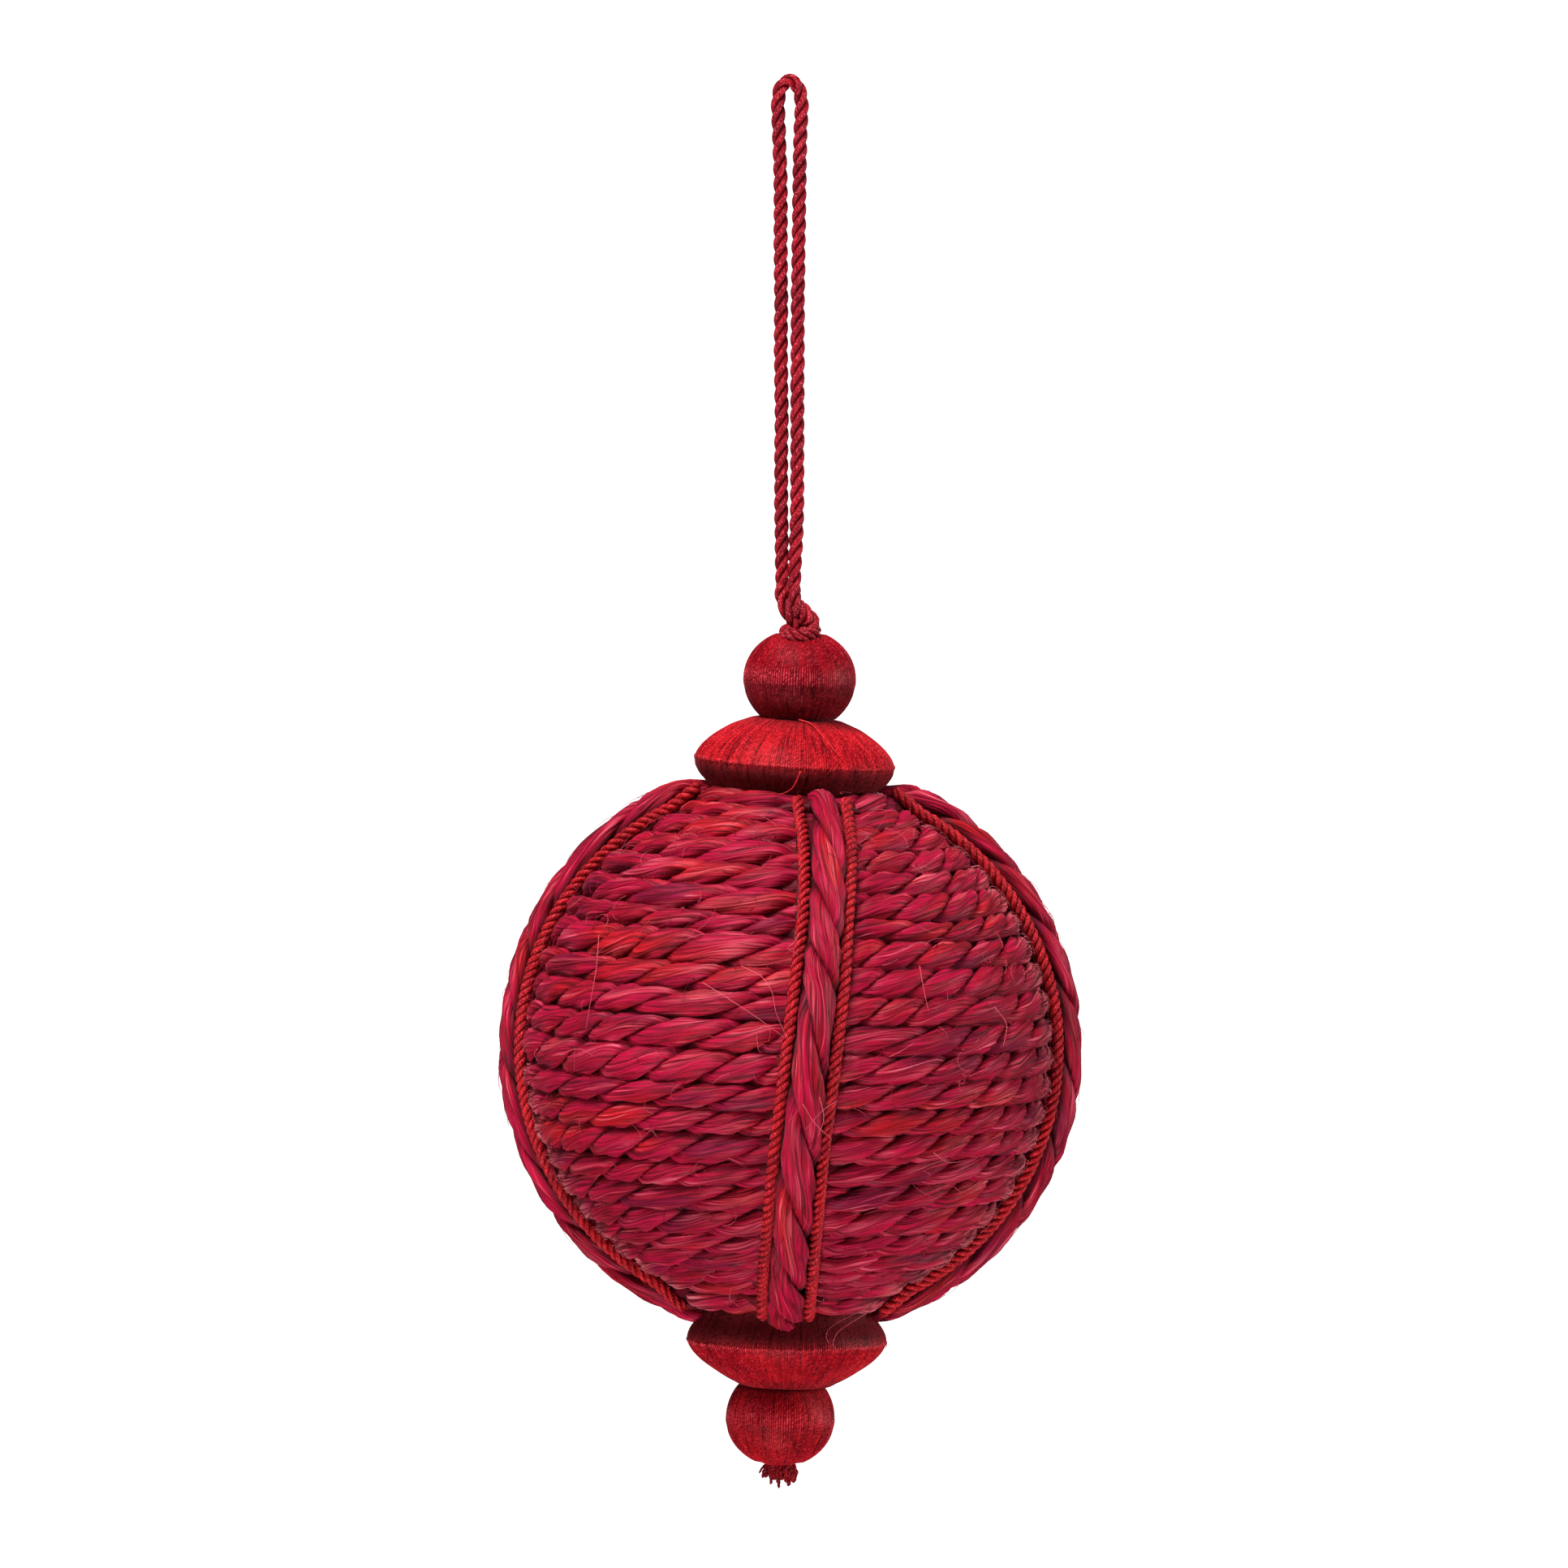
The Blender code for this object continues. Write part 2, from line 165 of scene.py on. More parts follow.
# %% Helpers for materials
class Wire:
    """A socket that can be used in a sum."""

    def __init__(self, finish, socket):
        self.finish = finish
        self.socket = socket

    def maths(self, operation, *values):
        return self.finish.maths(operation, *values)

    def __add__(self, other):
        return self.maths("ADD", self, other)

    def __sub__(self, other):
        return self.maths("SUBTRACT", self, other)

    def __rsub__(self, other):
        return self.maths("SUBTRACT", other, self)

    def __mul__(self, other):
        return self.maths("MULTIPLY", self, other)

    __radd__ = __add__
    __rmul__ = __mul__

    def away_from(self, value, width):
        """0 where the wire is near this value, 1 where it is not."""
        return self.maths("ABSOLUTE", self - value).between(0.0, width)

    def between(self, low, high):
        """0 at low, 1 at high, and smooth on the way."""
        settings = {"interpolation_type": "SMOOTHSTEP"}
        sockets = {"Value": self, "From Min": low, "From Max": high}
        return self.finish.node("ShaderNodeMapRange", settings, sockets)


class Finish:
    """A material, and the one way in which nodes are added to it."""

    def __init__(self, name, **values):
        self.material = bpy.data.materials.new(name)
        self.material.use_nodes = True
        self.tree = self.material.node_tree
        self.shader = self.tree.nodes["Principled BSDF"]
        for words, value in values.items():
            self.shader.inputs[words.replace("_", " ")].default_value = value

    def node(self, kind, settings=None, sockets=None, output=0):
        made = self.tree.nodes.new(kind)
        for name, value in (settings or {}).items():
            if name == "stops":
                self.set_stops(made.color_ramp, value)
            else:
                setattr(made, name, value)
        for name, value in (sockets or {}).items():
            self.plug(value, made.inputs[name])
        return Wire(self, made.outputs[output])

    def plug(self, value, socket):
        if isinstance(value, Wire):
            self.tree.links.new(value.socket, socket)
        else:
            socket.default_value = value

    def set_stops(self, ramp, stops):
        while len(ramp.elements) < len(stops):
            ramp.elements.new(1.0)
        for element, (place, colour) in zip(ramp.elements, stops):
            element.position = place
            element.color = (*colour, 1.0)

    def ramp(self, value, stops):
        return self.node("ShaderNodeValToRGB", {"stops": stops}, {"Fac": value})

    def mix(self, share, first, second, blend="MIX"):
        settings = {"data_type": "RGBA", "blend_type": blend}
        return self.node("ShaderNodeMix", settings, {0: share, 6: first, 7: second}, 2)

    def dimmed(self, colour, shade):
        """Multiply a colour by a wire of shades."""
        grey = self.node("ShaderNodeCombineColor", None, {0: shade, 1: shade, 2: shade})
        return self.mix(1.0, colour, grey, "MULTIPLY")

    def maths(self, operation, *values, kind="ShaderNodeMath"):
        return self.node(kind, {"operation": operation}, dict(enumerate(values)))

    def strand_map(self):
        return self.node("ShaderNodeUVMap", {"uv_map": "strand"})

    def shifted(self, place, amount):
        """Move a place in the strand map across the strand."""
        shift = self.node("ShaderNodeCombineXYZ", None, {"Y": amount})
        return self.maths("ADD", place, shift, kind="ShaderNodeVectorMath")

    def noise(self, place, scale=None, detail=1.0, roughness=0.5):
        """Noise, with this many grains along, across and up in each unit of the place."""
        if scale:
            place = self.maths("MULTIPLY", place, scale, kind="ShaderNodeVectorMath")
        sockets = {"Vector": place, "Scale": 1.0, "Detail": detail, "Roughness": roughness}
        return self.node("ShaderNodeTexNoise", None, sockets)

    def attribute(self, name):
        return self.node("ShaderNodeAttribute", {"attribute_name": name}, None, "Fac")

    def surface(self, colour, roughness, height, depth, strength):
        """Link the colour, the roughness and a relief of this depth to the shader."""
        sockets = {"Height": height, "Distance": depth, "Strength": strength}
        relief = self.node("ShaderNodeBump", None, sockets)
        for name, wire in (("Base Color", colour), ("Roughness", roughness), ("Normal", relief)):
            self.plug(wire, self.shader.inputs[name])


def opaque(red, green, blue):
    return (red, green, blue, 1.0)


# %% [markdown]
# Light comes from large soft boxes, as in a catalogue photograph: one above and in
# front, which is strongest, one at each side and one behind to catch the edges, one
# below, and a weak one by the camera. Only large lamps keep the shadows between the
# strands soft.

# %% Light the studio
LIGHT_MIDDLE = Vector((0.0, 0.0, -0.16))
SOFT_BOXES = (
    ("box_above", (-0.5, -0.75, 1.65), 1.2, 68.0),
    ("box_left", (-2.0, -0.6, 0.1), 1.1, 7.0),
    ("box_right", (2.1, -0.15, 0.2), 1.1, 35.0),
    ("box_front", (-0.3, -2.6, 0.1), 1.0, 8.0),
    ("box_low", (-0.4, -1.3, -1.7), 1.1, 53.0),
    ("box_behind", (0.5, 2.4, 0.4), 1.1, 18.0),
)
ROOM_LIGHT = 0.12

for name, place, size, power in SOFT_BOXES:
    lamp = bpy.data.lights.new(name, "AREA")
    lamp.shape = "DISK"
    lamp.size = size
    lamp.energy = power
    holder = bpy.data.objects.new(name, lamp)
    bpy.context.scene.collection.objects.link(holder)
    holder.location = LIGHT_MIDDLE + Vector(place)
    holder.rotation_euler = (-Vector(place)).to_track_quat("-Z", "Y").to_euler()

world = bpy.data.worlds.new("studio")
world.use_nodes = True
world.node_tree.nodes["Background"].inputs["Color"].default_value = opaque(1, 1, 1)
world.node_tree.nodes["Background"].inputs["Strength"].default_value = ROOM_LIGHT
bpy.context.scene.world = world
bpy.context.scene.view_settings.view_transform = "Standard"

white = Finish("studio_white", Base_Color=opaque(0.8, 0.8, 0.8), Roughness=0.9)
white.shader.inputs["Emission Color"].default_value = opaque(1, 1, 1)
white.shader.inputs["Emission Strength"].default_value = 1.0
room.data.materials.append(white.material)
print(len(SOFT_BOXES), "soft boxes")

# %% [markdown]
# Everything on this ornament is a strand of some kind: jute, cord or thread. So one
# mesh maker serves them all. `Bundle` takes strands as grids of points, along and
# around, and joins them into one mesh. It also writes how far each point is along
# and around its strand, as the UV map, so that fibres in the finish follow the
# strand. Two attributes say how far out a point lies, from which the finish paints
# shade into the creases, and how worn it is, which also carries painted sheen.

# %% Gather strands into a mesh
def mark(mesh, uvs, **values):
    """Write the strand map, and a value for each point under each of these names."""
    mesh.uv_layers.new(name="strand").data.foreach_set("uv", uvs.ravel())
    for name, points in values.items():
        mesh.attributes.new(name, "FLOAT", "POINT").data.foreach_set("value", points)


def hand_over(piece, finish, nodes):
    """Give a piece its finish, and put it in place of these nodes of the frame."""
    piece.data.materials.append(finish.material)
    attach(piece, BODY)
    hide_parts(*nodes)
    piece.data.calc_loop_triangles()
    print(piece.name, len(piece.data.loop_triangles), "triangles")


class Bundle:
    """Strands that become one mesh."""

    def __init__(self):
        self.points = []
        self.heights = []
        self.wear_and_sheen_points = []
        self.quads = []
        self.quad_uvs = []
        self.threes = []
        self.three_uvs = []
        self.count = 0

    def add(self, grid, along, around, height, ring=False, worn=0.0):
        """grid holds points by place. along and around are lengths for the UV map."""
        rings, sides = grid.shape[:2]
        index = self.count + np.arange(rings * sides).reshape(rings, sides)
        self.points.append(grid.reshape(-1, 3))
        self.heights.append(np.broadcast_to(height, (rings, sides)).reshape(-1))
        self.wear_and_sheen_points.append(np.broadcast_to(worn, (rings, sides)).reshape(-1))
        self.count += rings * sides
        k = np.arange(rings if ring else rings - 1)[:, None]
        m = np.arange(sides)[None, :]
        next_k = (k + 1) % rings
        next_m = (m + 1) % sides
        corners = (index[k, m], index[k, next_m], index[next_k, next_m], index[next_k, m])
        self.quads.append(np.stack(corners, axis=-1).reshape(-1, 4))
        places = ((k, m), (k, m + 1), (k + 1, m + 1), (k + 1, m))
        uvs = [np.stack((along[a] + 0.0 * b, around[b] + 0.0 * a), -1) for a, b in places]
        self.quad_uvs.append(np.stack(uvs, axis=-2).reshape(-1, 2))
        if not ring:
            self.close(grid[0], index[0][::-1], (along[0], around[0]))
            self.close(grid[-1], index[-1], (along[-1], around[0]))

    def close(self, rim, indices, place):
        """Close a strand's end with a fan of faces."""
        self.points.append(rim.mean(axis=0)[None, :])
        self.heights.append(np.array([0.5]))
        self.wear_and_sheen_points.append(np.array([0.0]))
        tip = np.full(len(indices), self.count)
        self.threes.append(np.stack((tip, indices, np.roll(indices, -1)), axis=-1))
        self.three_uvs.append(np.tile(np.array(place), (3 * len(indices), 1)))
        self.count += 1

    def make(self, name, finish, slot, nodes):
        """Build the mesh in place of these nodes of the frame."""
        faces = np.concatenate(self.quads).tolist() + np.concatenate(self.threes).tolist()
        mesh = bpy.data.meshes.new(name)
        mesh.from_pydata(np.concatenate(self.points).tolist(), [], faces)
        mark(mesh, np.concatenate(self.quad_uvs + self.three_uvs) / CM,
             height=np.concatenate(self.heights), worn=np.concatenate(self.wear_and_sheen_points))
        mesh.shade_smooth()
        piece = bpy.data.objects.new(name, mesh)
        bpy.context.scene.collection.objects.link(piece)
        hand_over(piece, finish, nodes)
        return piece


# %% [markdown]
# Handmade rope is never even. `drift` gives numbers that wander slowly between -1
# and 1, for each of several lines. It draws a few random values, always the same ones
# for the same seed, and goes from one to the next by `eased`, a smooth step.

# %% Slow random change
def eased(value, low, high):
    """0 at low, 1 at high, and smooth on the way."""
    part = np.clip((value - low) / (high - low), 0.0, 1.0)
    return part * part * (3.0 - 2.0 * part)


def drift(chance, lines, places, wavelength, ring=False):
    """places are the distances along, from 0. Returns a row of values for each line."""
    spacing = places[1] - places[0]
    total = places[-1] + (spacing if ring else 0.0)
    knots = max(3, round(total / wavelength))
    values = chance.uniform(-1.0, 1.0, (lines, knots + 1))
    if ring:
        values[:, -1] = values[:, 0]
    reading = places / total * knots
    before = np.minimum(reading.astype(int), knots - 1)
    part = eased(reading - before, 0.0, 1.0)
    return values[:, before] * (1.0 - part) + values[:, before + 1] * part


# %% [markdown]
# Strands follow lines. `smooth_route` draws a smooth curve through a few places, in
# even steps. `follow` gives each place on a line a frame that doesn't turn on the
# way, so that only a rope's own lay turns its strands, and `sweep` puts points round
# such a path.

# %% Follow a smooth line
ROUTE_STEPS = 24


def travelled(line):
    """How far each point of a line is from its start, along the line."""
    return np.append(0.0, np.cumsum(np.linalg.norm(np.diff(line, axis=0), axis=1)))


def smooth_route(points, step):
    """Even steps along a smooth curve through these places."""
    points = np.array(points)
    points = np.vstack((2 * points[0] - points[1], points, 2 * points[-1] - points[-2]))
    t = np.linspace(0.0, 1.0, ROUTE_STEPS, endpoint=False)[:, None]
    fine = []
    for before, start, end, after in zip(points, points[1:], points[2:], points[3:]):
        bend = (2.0 * before - 5.0 * start + 4.0 * end - after) * t * t
        twist = (3.0 * start - before - 3.0 * end + after) * t * t * t
        fine.append(0.5 * (2.0 * start + (end - before) * t + bend + twist))
    fine = np.vstack(fine + [points[-2][None, :]])
    far = travelled(fine)
    even = np.linspace(0.0, far[-1], max(4, round(far[-1] / step) + 1))
    return np.stack([np.interp(even, far, column) for column in fine.T], -1)


def follow(middle, side=(0.37, 0.81, 0.45)):
    """A path along a line, with a frame that doesn't turn on the way."""
    tangent = np.gradient(middle, axis=0)
    tangent /= np.linalg.norm(tangent, axis=1)[:, None]
    across = np.zeros_like(middle)
    side = np.array(side)
    for k in range(len(middle)):
        side = side - tangent[k] * side.dot(tangent[k])
        side = side / np.linalg.norm(side)
        across[k] = side
    return {"middle": middle, "across": across, "outward": np.cross(tangent, across),
            "places": np.linspace(0.0, travelled(middle)[-1], len(middle)), "worn": 0.0}


def sweep(path, sideways, raised):
    """Points round a path, from how far each lies across it and outward."""
    return (path["middle"][:, None, :] + path["across"][:, None, :] * sideways[..., None]
            + path["outward"][:, None, :] * raised[..., None])


def full_turn(angles):
    """These angles, and the first again after a whole turn."""
    return np.append(angles, angles[0] + 2.0 * np.pi)


# %% [markdown]
# A rope is two or more strands that wind round each other. In a section across it,
# each strand's middle goes round in a circle, and the strand is pressed into an oval
# against its neighbour. Every corner of the mesh keeps its direction from the
# strand's middle, so the edges run along the rope as real fibres do. Raising and
# lowering single edges, slowly changing, gives the locks of fibres on each lobe.

# %% Wind strands into a rope
# How far apart in the strand map two strands or fibres lie, so that none look alike.
STRAND_JUMP = 3.7 * CM
FIBRE_JUMP = 0.31 * CM


def wind(bundle, path, lay, angles, chance, ring=False):
    """Add a rope's strands. path holds the middle line, and lay how the strands lie."""
    places = path["places"]
    sides = len(angles)
    along = np.append(places, places[-1] + places[1])
    every_second = np.where(np.arange(sides) % 2 == 0, 0.45, -0.45)
    gaps = np.diff(full_turn(angles))
    square = lay["squareness"]
    swell = path["end"][:, None]
    for strand in range(lay["strands"]):
        turn = (path["phase"] + 2.0 * np.pi * strand / lay["strands"])[:, None]
        depth = drift(chance, sides, places, lay["fibre_length"], ring).T
        sway = drift(chance, sides, places, lay["fibre_length"], ring).T
        lumps = drift(chance, 1, places, 2.5 * lay["fibre_length"], ring).T
        directions = angles + lay["fibre_sway"] * sway * gaps
        flat = np.abs(np.cos(directions - turn) / lay["thick"]) ** square
        wide = np.abs(np.sin(directions - turn) / lay["broad"]) ** square
        reach = (flat + wide) ** (-1.0 / square)
        reach = reach * (1.0 + lay["lumps"] * lumps)
        crevice = 2.0 * np.clip(-depth - 0.55, 0.0, 1.0)
        relief = lay["flute"] * (every_second + 0.9 * depth - 1.1 * crevice)
        reach = reach + relief * swell
        x = lay["offset"] * swell * np.cos(turn) + reach * np.cos(directions)
        y = lay["offset"] * swell * np.sin(turn) + reach * np.sin(directions)
        grid = sweep(path, x * np.reshape(path["half_width"], (-1, 1)) * swell,
                     y * np.reshape(path["half_height"], (-1, 1)) * swell)
        # Painted shade: the finish darkens points that lie deep in a crease, and on lying rows the
        # sides toward the ball, between the rows.
        height = np.hypot(x, y) - 0.04 + 2.2 * relief
        if lay["lying"]:
            height = height * np.clip((y + 0.1) / 0.72, 0.0, 1.0)
        start = STRAND_JUMP * (path["seed"] + strand * 17)
        bundle.add(grid, along, full_turn(angles) * lay["around"] + start,
                   np.clip(height, 0.0, 1.0), ring, path["worn"])


def stray(bundle, line, radius, seed, height=0.9, worn=0.0):
    """A single loose fibre: three sides, and thinner towards its tip."""
    path = follow(line)
    turns = np.radians((90.0, 210.0, 330.0))
    slim = radius * np.linspace(1.0, 0.5, len(line))[:, None]
    grid = sweep(path, slim * np.cos(turns), slim * np.sin(turns))
    around = full_turn(turns) * radius + FIBRE_JUMP * seed
    bundle.add(grid, path["places"], around, height, False, worn)


# %% [markdown]
# The jute is dyed by the hank, so strands differ: crimson, magenta, orange-red and a
# dull purple, with pale worn fibres and painted pale highlights on the crests. An image
# could not be repeated without showing it, so the finish is noises stretched along the
# strand: wide for the hank's colour, narrower for locks of fibres, and fine for single
# fibres, which also raise the surface. Long dark lines between the fibres, painted
# shade in the gaps between them, make it read as jute. Creases are painted darker
# from how far out a point lies, as shade.

# %% Mix the jute's finish
MAGENTA = (0.31, 0.002, 0.029)
CRIMSON = (0.26, 0.002, 0.016)
ORANGE_RED = (0.33, 0.004, 0.010)
PURPLE = (0.17, 0.002, 0.022)
PALE_PINK_WEAR_AND_HIGHLIGHT = (0.66, 0.17, 0.21)
DUSTY_PINK_WEAR_AND_SHEEN = (0.58, 0.135, 0.155)


def jute_finish(name, tint):
    finish = Finish(name, Roughness=0.6, Sheen_Weight=0.05, Sheen_Roughness=0.35,
                    Sheen_Tint=opaque(1.0, 0.45, 0.5), Specular_IOR_Level=0.22,
                    Specular_Tint=opaque(1.0, 0.45, 0.5))
    place = finish.strand_map()
    wave = finish.noise(place, (0.7, 2.0, 1.0))
    place = finish.shifted(place, (wave - 0.5) * 0.05)
    spot = finish.node("ShaderNodeTexCoord", None, None, "Object")
    patch = finish.noise(spot, (38.0, 38.0, 60.0))
    hank = finish.noise(place, (0.35, 1.4, 1.0))
    lock = finish.noise(place, (0.3, 5.0, 1.0))
    hair = finish.noise(place, (0.35, 15.0, 1.0), 2.0)
    fibre = finish.noise(place, (0.6, 31.0, 1.0), 2.0, 0.65)
    tone = hank * 0.5 + lock * 0.2 + patch * 0.3
    stops = ((0.39, PURPLE), (0.44, CRIMSON), (0.50, MAGENTA), (0.55, CRIMSON),
             (0.61, ORANGE_RED))
    dyed = finish.ramp(tone, stops)
    out = finish.attribute("height")
    crest = out.between(0.7, 0.97)
    # Painted highlights: thin pale streaks and pale wear on the crests share one pale colour.
    painted_highlights = fibre.between(0.58, 0.68) * hair.between(0.48, 0.62) * crest
    worn = lock.between(0.52, 0.68) * fibre.between(0.40, 0.6) * crest
    dyed = finish.mix(painted_highlights * 0.4 + worn * 0.22, dyed, opaque(*PALE_PINK_WEAR_AND_HIGHLIGHT))
    # Pale wear beside the ropes, which also stands in for the side light's sheen on the fibres:
    # part wear, part painted sheen.
    wear_and_sheen_amount = finish.attribute("worn")
    combed = fibre.between(0.40, 0.56) * 0.75 + 0.25
    dusty_wear_and_sheen = wear_and_sheen_amount * (lock.between(0.36, 0.54) * 0.7 + 0.3) * combed * (crest * 0.7 + 0.2)
    dyed = finish.mix(dusty_wear_and_sheen, dyed, opaque(*DUSTY_PINK_WEAR_AND_SHEEN))
    parted = hair.away_from(0.47, 0.022)
    fine = fibre.between(0.37, 0.53)
    # Painted shade in the creases and in dark lines between the fibres.
    shade = (out.between(0.1, 0.85) * 0.7 + 0.3) * (parted * 0.42 + 0.59)
    shade = shade * (1.0 - wear_and_sheen_amount * (1.0 - fine) * 0.3)
    shade = shade * (fine * 0.68 + 0.44) * (hair * 0.7 + 0.68)
    dyed = finish.mix(1.0, finish.dimmed(dyed, shade), opaque(*tint), "MULTIPLY")
    relief = parted * 0.5 + fine * 0.3 + hair * 0.5
    finish.surface(dyed, 0.65 - hair * 0.3, relief, 0.3 * MM, 0.8)
    return finish


row_jute = jute_finish("dyed_jute_rows", (1.0, 1.0, 1.0))
rope_jute = jute_finish("dyed_jute_rope", (1.05, 1.0, 1.0))
loose_jute = Finish("worn_jute_fibre", Base_Color=opaque(0.50, 0.06, 0.085), Roughness=0.5,
                    Specular_IOR_Level=0.3)
print("jute finishes made")

# %% [markdown]
# Four ropes of the same jute lie over the rows, from disc to disc. They follow the
# meridians, but slant a little and bow out near the discs. The rows are pressed in
# under them, so their places are planned first.

# %% Plan the four meridian ropes
ROPE_NAMES = ("front", "right", "back", "left")
ROPE_AZIMUTHS = (4.0, 86.5, 180.0, 268.0)
ROPE_SLANTS = (5.6, 2.0, -3.0, -2.0)
ROPE_BOW = 2.6
SLANT_LATITUDE = 60.0


def rope_azimuth(number, latitude):
    share = latitude / SLANT_LATITUDE
    return ROPE_AZIMUTHS[number] + ROPE_SLANTS[number] * share + ROPE_BOW * share * share


def ball_directions(latitude, azimuth):
    """Up and outward at places on the ball, given in degrees."""
    polar = np.radians(90.0 - latitude)
    turn = np.radians(azimuth)
    east = np.stack((np.cos(turn), np.sin(turn), 0.0 * turn), -1)
    outward = np.stack((np.sin(polar) * np.sin(turn), -np.sin(polar) * np.cos(turn),
                        np.cos(polar) + 0.0 * turn), -1)
    return np.cross(outward, east), outward


def over_ball(latitude, azimuth, radius):
    """Places in the frame, this far from the ball's middle."""
    return on_body(ball_directions(latitude, azimuth)[1] * radius[:, None])


# %% [markdown]
# The ball is wound with 23 rows of two-strand rope. The rows differ in height, and
# they don't keep level: their edges were read off the photograph, in degrees of
# latitude, at the middles of its left and right panels. Behind, they even out. The
# twist is longer on the left than on the right, as in the photograph. Each row is a
# closed ring with a whole number of turns, so that its strands meet where they
# began. The first and last rows pile up against the discs. Beside the ropes at the
# sides and behind, the fibres are worn pale, and the same pale colour stands in for
# the sheen of the side light on them, as painted light.

# %% Plan the rows of the ball
EDGES_LEFT = (72.3, 67.6, 63.0, 56.4, 48.7, 41.7, 35.3, 30.3, 22.2, 16.4, 10.1, 3.6,
              -4.1, -9.6, -15.4, -22.8, -28.1, -35.0, -42.1, -47.0, -52.9, -58.6,
              -65.0, -72.3)
EDGES_RIGHT = (72.3, 66.3, 60.4, 52.3, 45.9, 40.0, 33.1, 28.3, 21.9, 15.2, 9.1, 2.8,
               -3.3, -9.2, -14.6, -20.7, -26.6, -33.2, -40.6, -47.0, -54.0, -59.1,
               -65.6, -72.3)
EDGES_EVEN = tuple(np.linspace(EDGES_LEFT[0], EDGES_LEFT[-1], len(EDGES_LEFT)))
ROWS_EVEN = [0.5 * (upper + lower) for upper, lower in zip(EDGES_EVEN, EDGES_EVEN[1:])]
PANEL_AZIMUTHS = (-180.0, -42.0, 42.0, 180.0)
ROW_HALF_HEIGHT = 2.6 * MM
ROW_RING_LENGTH = 1.62 * MM
ROPE_PRESS = 0.9 * MM
PRESS_REACH = (5.0 * MM, 10.0 * MM)
WEAR_AND_SHEEN_REACH = (8.0 * MM, 18.0 * MM)
ROW_WANDER = 22.0 * MM
PITCH_LEFT = (23.0, 32.0)
PITCH_RIGHT = (19.0, 25.0)
PITCH_BEHIND = (23.0, 30.0)
# Directions of a strand's fibres: close together outside, and few where they hide.
OUTER_FIBRES = np.radians(np.arange(-25.0, 206.0, 7.45))
HIDDEN_FIBRES = np.radians(np.arange(228.0, 330.0, 25.5))
ROW_FIBRES = np.concatenate((OUTER_FIBRES, HIDDEN_FIBRES))
ROW_LAY = {"strands": 2, "thick": 0.55, "broad": 0.94, "offset": 0.47, "flute": 0.06,
           "fibre_length": 12.0 * MM, "fibre_sway": 0.3, "lumps": 0.07, "lying": True,
           "squareness": 2.25, "around": 1.6 * MM}
LOOSE_LAY = dict(ROW_LAY, thick=0.64, offset=0.38, flute=0.09, lumps=0.1)
# How worn the rows are beside each rope, with painted sheen in the same pale colour, and the
# latitude above which that fades.
WEAR_AND_SHEEN_BESIDE = ((0.0, 0.0), (1.0, 45.0), (0.4, 20.0), (1.2, -8.0))


def piled_up(latitude):
    """How far the winding piles up against the discs."""
    upper = 1.8 * MM * eased(latitude, 61.0, 71.0)
    return upper + 2.2 * MM * eased(-latitude, 60.0, 71.0)


def pressed_in(aside):
    """1 under a rope, and 0 well aside of it."""
    return 1.0 - eased(aside, *PRESS_REACH)


def signed_degrees(degrees):
    """The same direction, between -180 and 180 degrees."""
    return (degrees + 180.0) % 360.0 - 180.0


def row_edge(edge, degrees):
    """The latitude of an edge between two rows at these azimuths."""
    corners = (EDGES_EVEN[edge], EDGES_LEFT[edge], EDGES_RIGHT[edge], EDGES_EVEN[edge])
    return np.interp(degrees, PANEL_AZIMUTHS, corners)


def row_path(row, chance):
    """The middle line of a row, and how wide and high it is on the way."""
    girth = 2.0 * math.pi * BALL_RADIUS * math.cos(math.radians(ROWS_EVEN[row]))
    rings = 2 * round(0.5 * girth / ROW_RING_LENGTH)
    degrees = 360.0 * np.arange(rings) / rings - 180.0
    behind = chance.uniform(*PITCH_BEHIND)
    pitches = (behind, chance.uniform(*PITCH_LEFT), chance.uniform(*PITCH_RIGHT), behind)
    rate = 1.0 / np.interp(degrees, PANEL_AZIMUTHS, pitches)
    turned = np.cumsum(rate) * girth / MM / rings
    turned *= max(3, round(turned[-1])) / turned[-1]
    top = row_edge(row, degrees)
    bottom = row_edge(row + 1, degrees)
    places = girth * np.arange(rings) / rings
    wander = drift(chance, 4, places, ROW_WANDER, True)
    latitude = 0.5 * (top + bottom) + 0.35 * wander[0]
    half_width = BALL_RADIUS * np.radians(0.5 * (top - bottom)) * (1.0 + 0.05 * wander[1])
    half_height = ROW_HALF_HEIGHT * (1.0 + 0.08 * wander[2])
    pressed = np.zeros(rings)
    worn = np.zeros(rings)
    for number, (share, top_latitude) in enumerate(WEAR_AND_SHEEN_BESIDE):
        aside = signed_degrees(degrees - rope_azimuth(number, latitude))
        aside = np.abs(aside) / 360.0 * girth
        pressed = np.maximum(pressed, pressed_in(aside))
        beside = share * (1.0 - eased(aside, *WEAR_AND_SHEEN_REACH))
        beside = beside * (1.0 - eased(latitude, top_latitude - 10.0, top_latitude + 10.0))
        worn = np.maximum(worn, beside)
    radius = BALL_RADIUS - ROW_HALF_HEIGHT - ROPE_PRESS * pressed + piled_up(latitude)
    up, outward = ball_directions(latitude, degrees)
    return {"middle": on_body(outward * radius[:, None]), "across": up @ body_turn.T,
            "outward": outward @ body_turn.T, "places": places,
            "half_width": half_width, "half_height": half_height,
            "phase": chance.uniform(0.0, 6.3) - 2.0 * np.pi * turned + 0.9 * wander[3],
            "end": np.ones(rings), "seed": row, "bed_lift": 2.1 * MM * pressed,
            "worn": worn[:, None]}


print(len(EDGES_LEFT) - 1, "rows planned")

# %% [markdown]
# A flat strand under each row closes the pits between this row and the next; it is
# painted in full shade, so the pits read dark. The four groups of rows are separate
# pieces, so that no mesh grows too heavy.

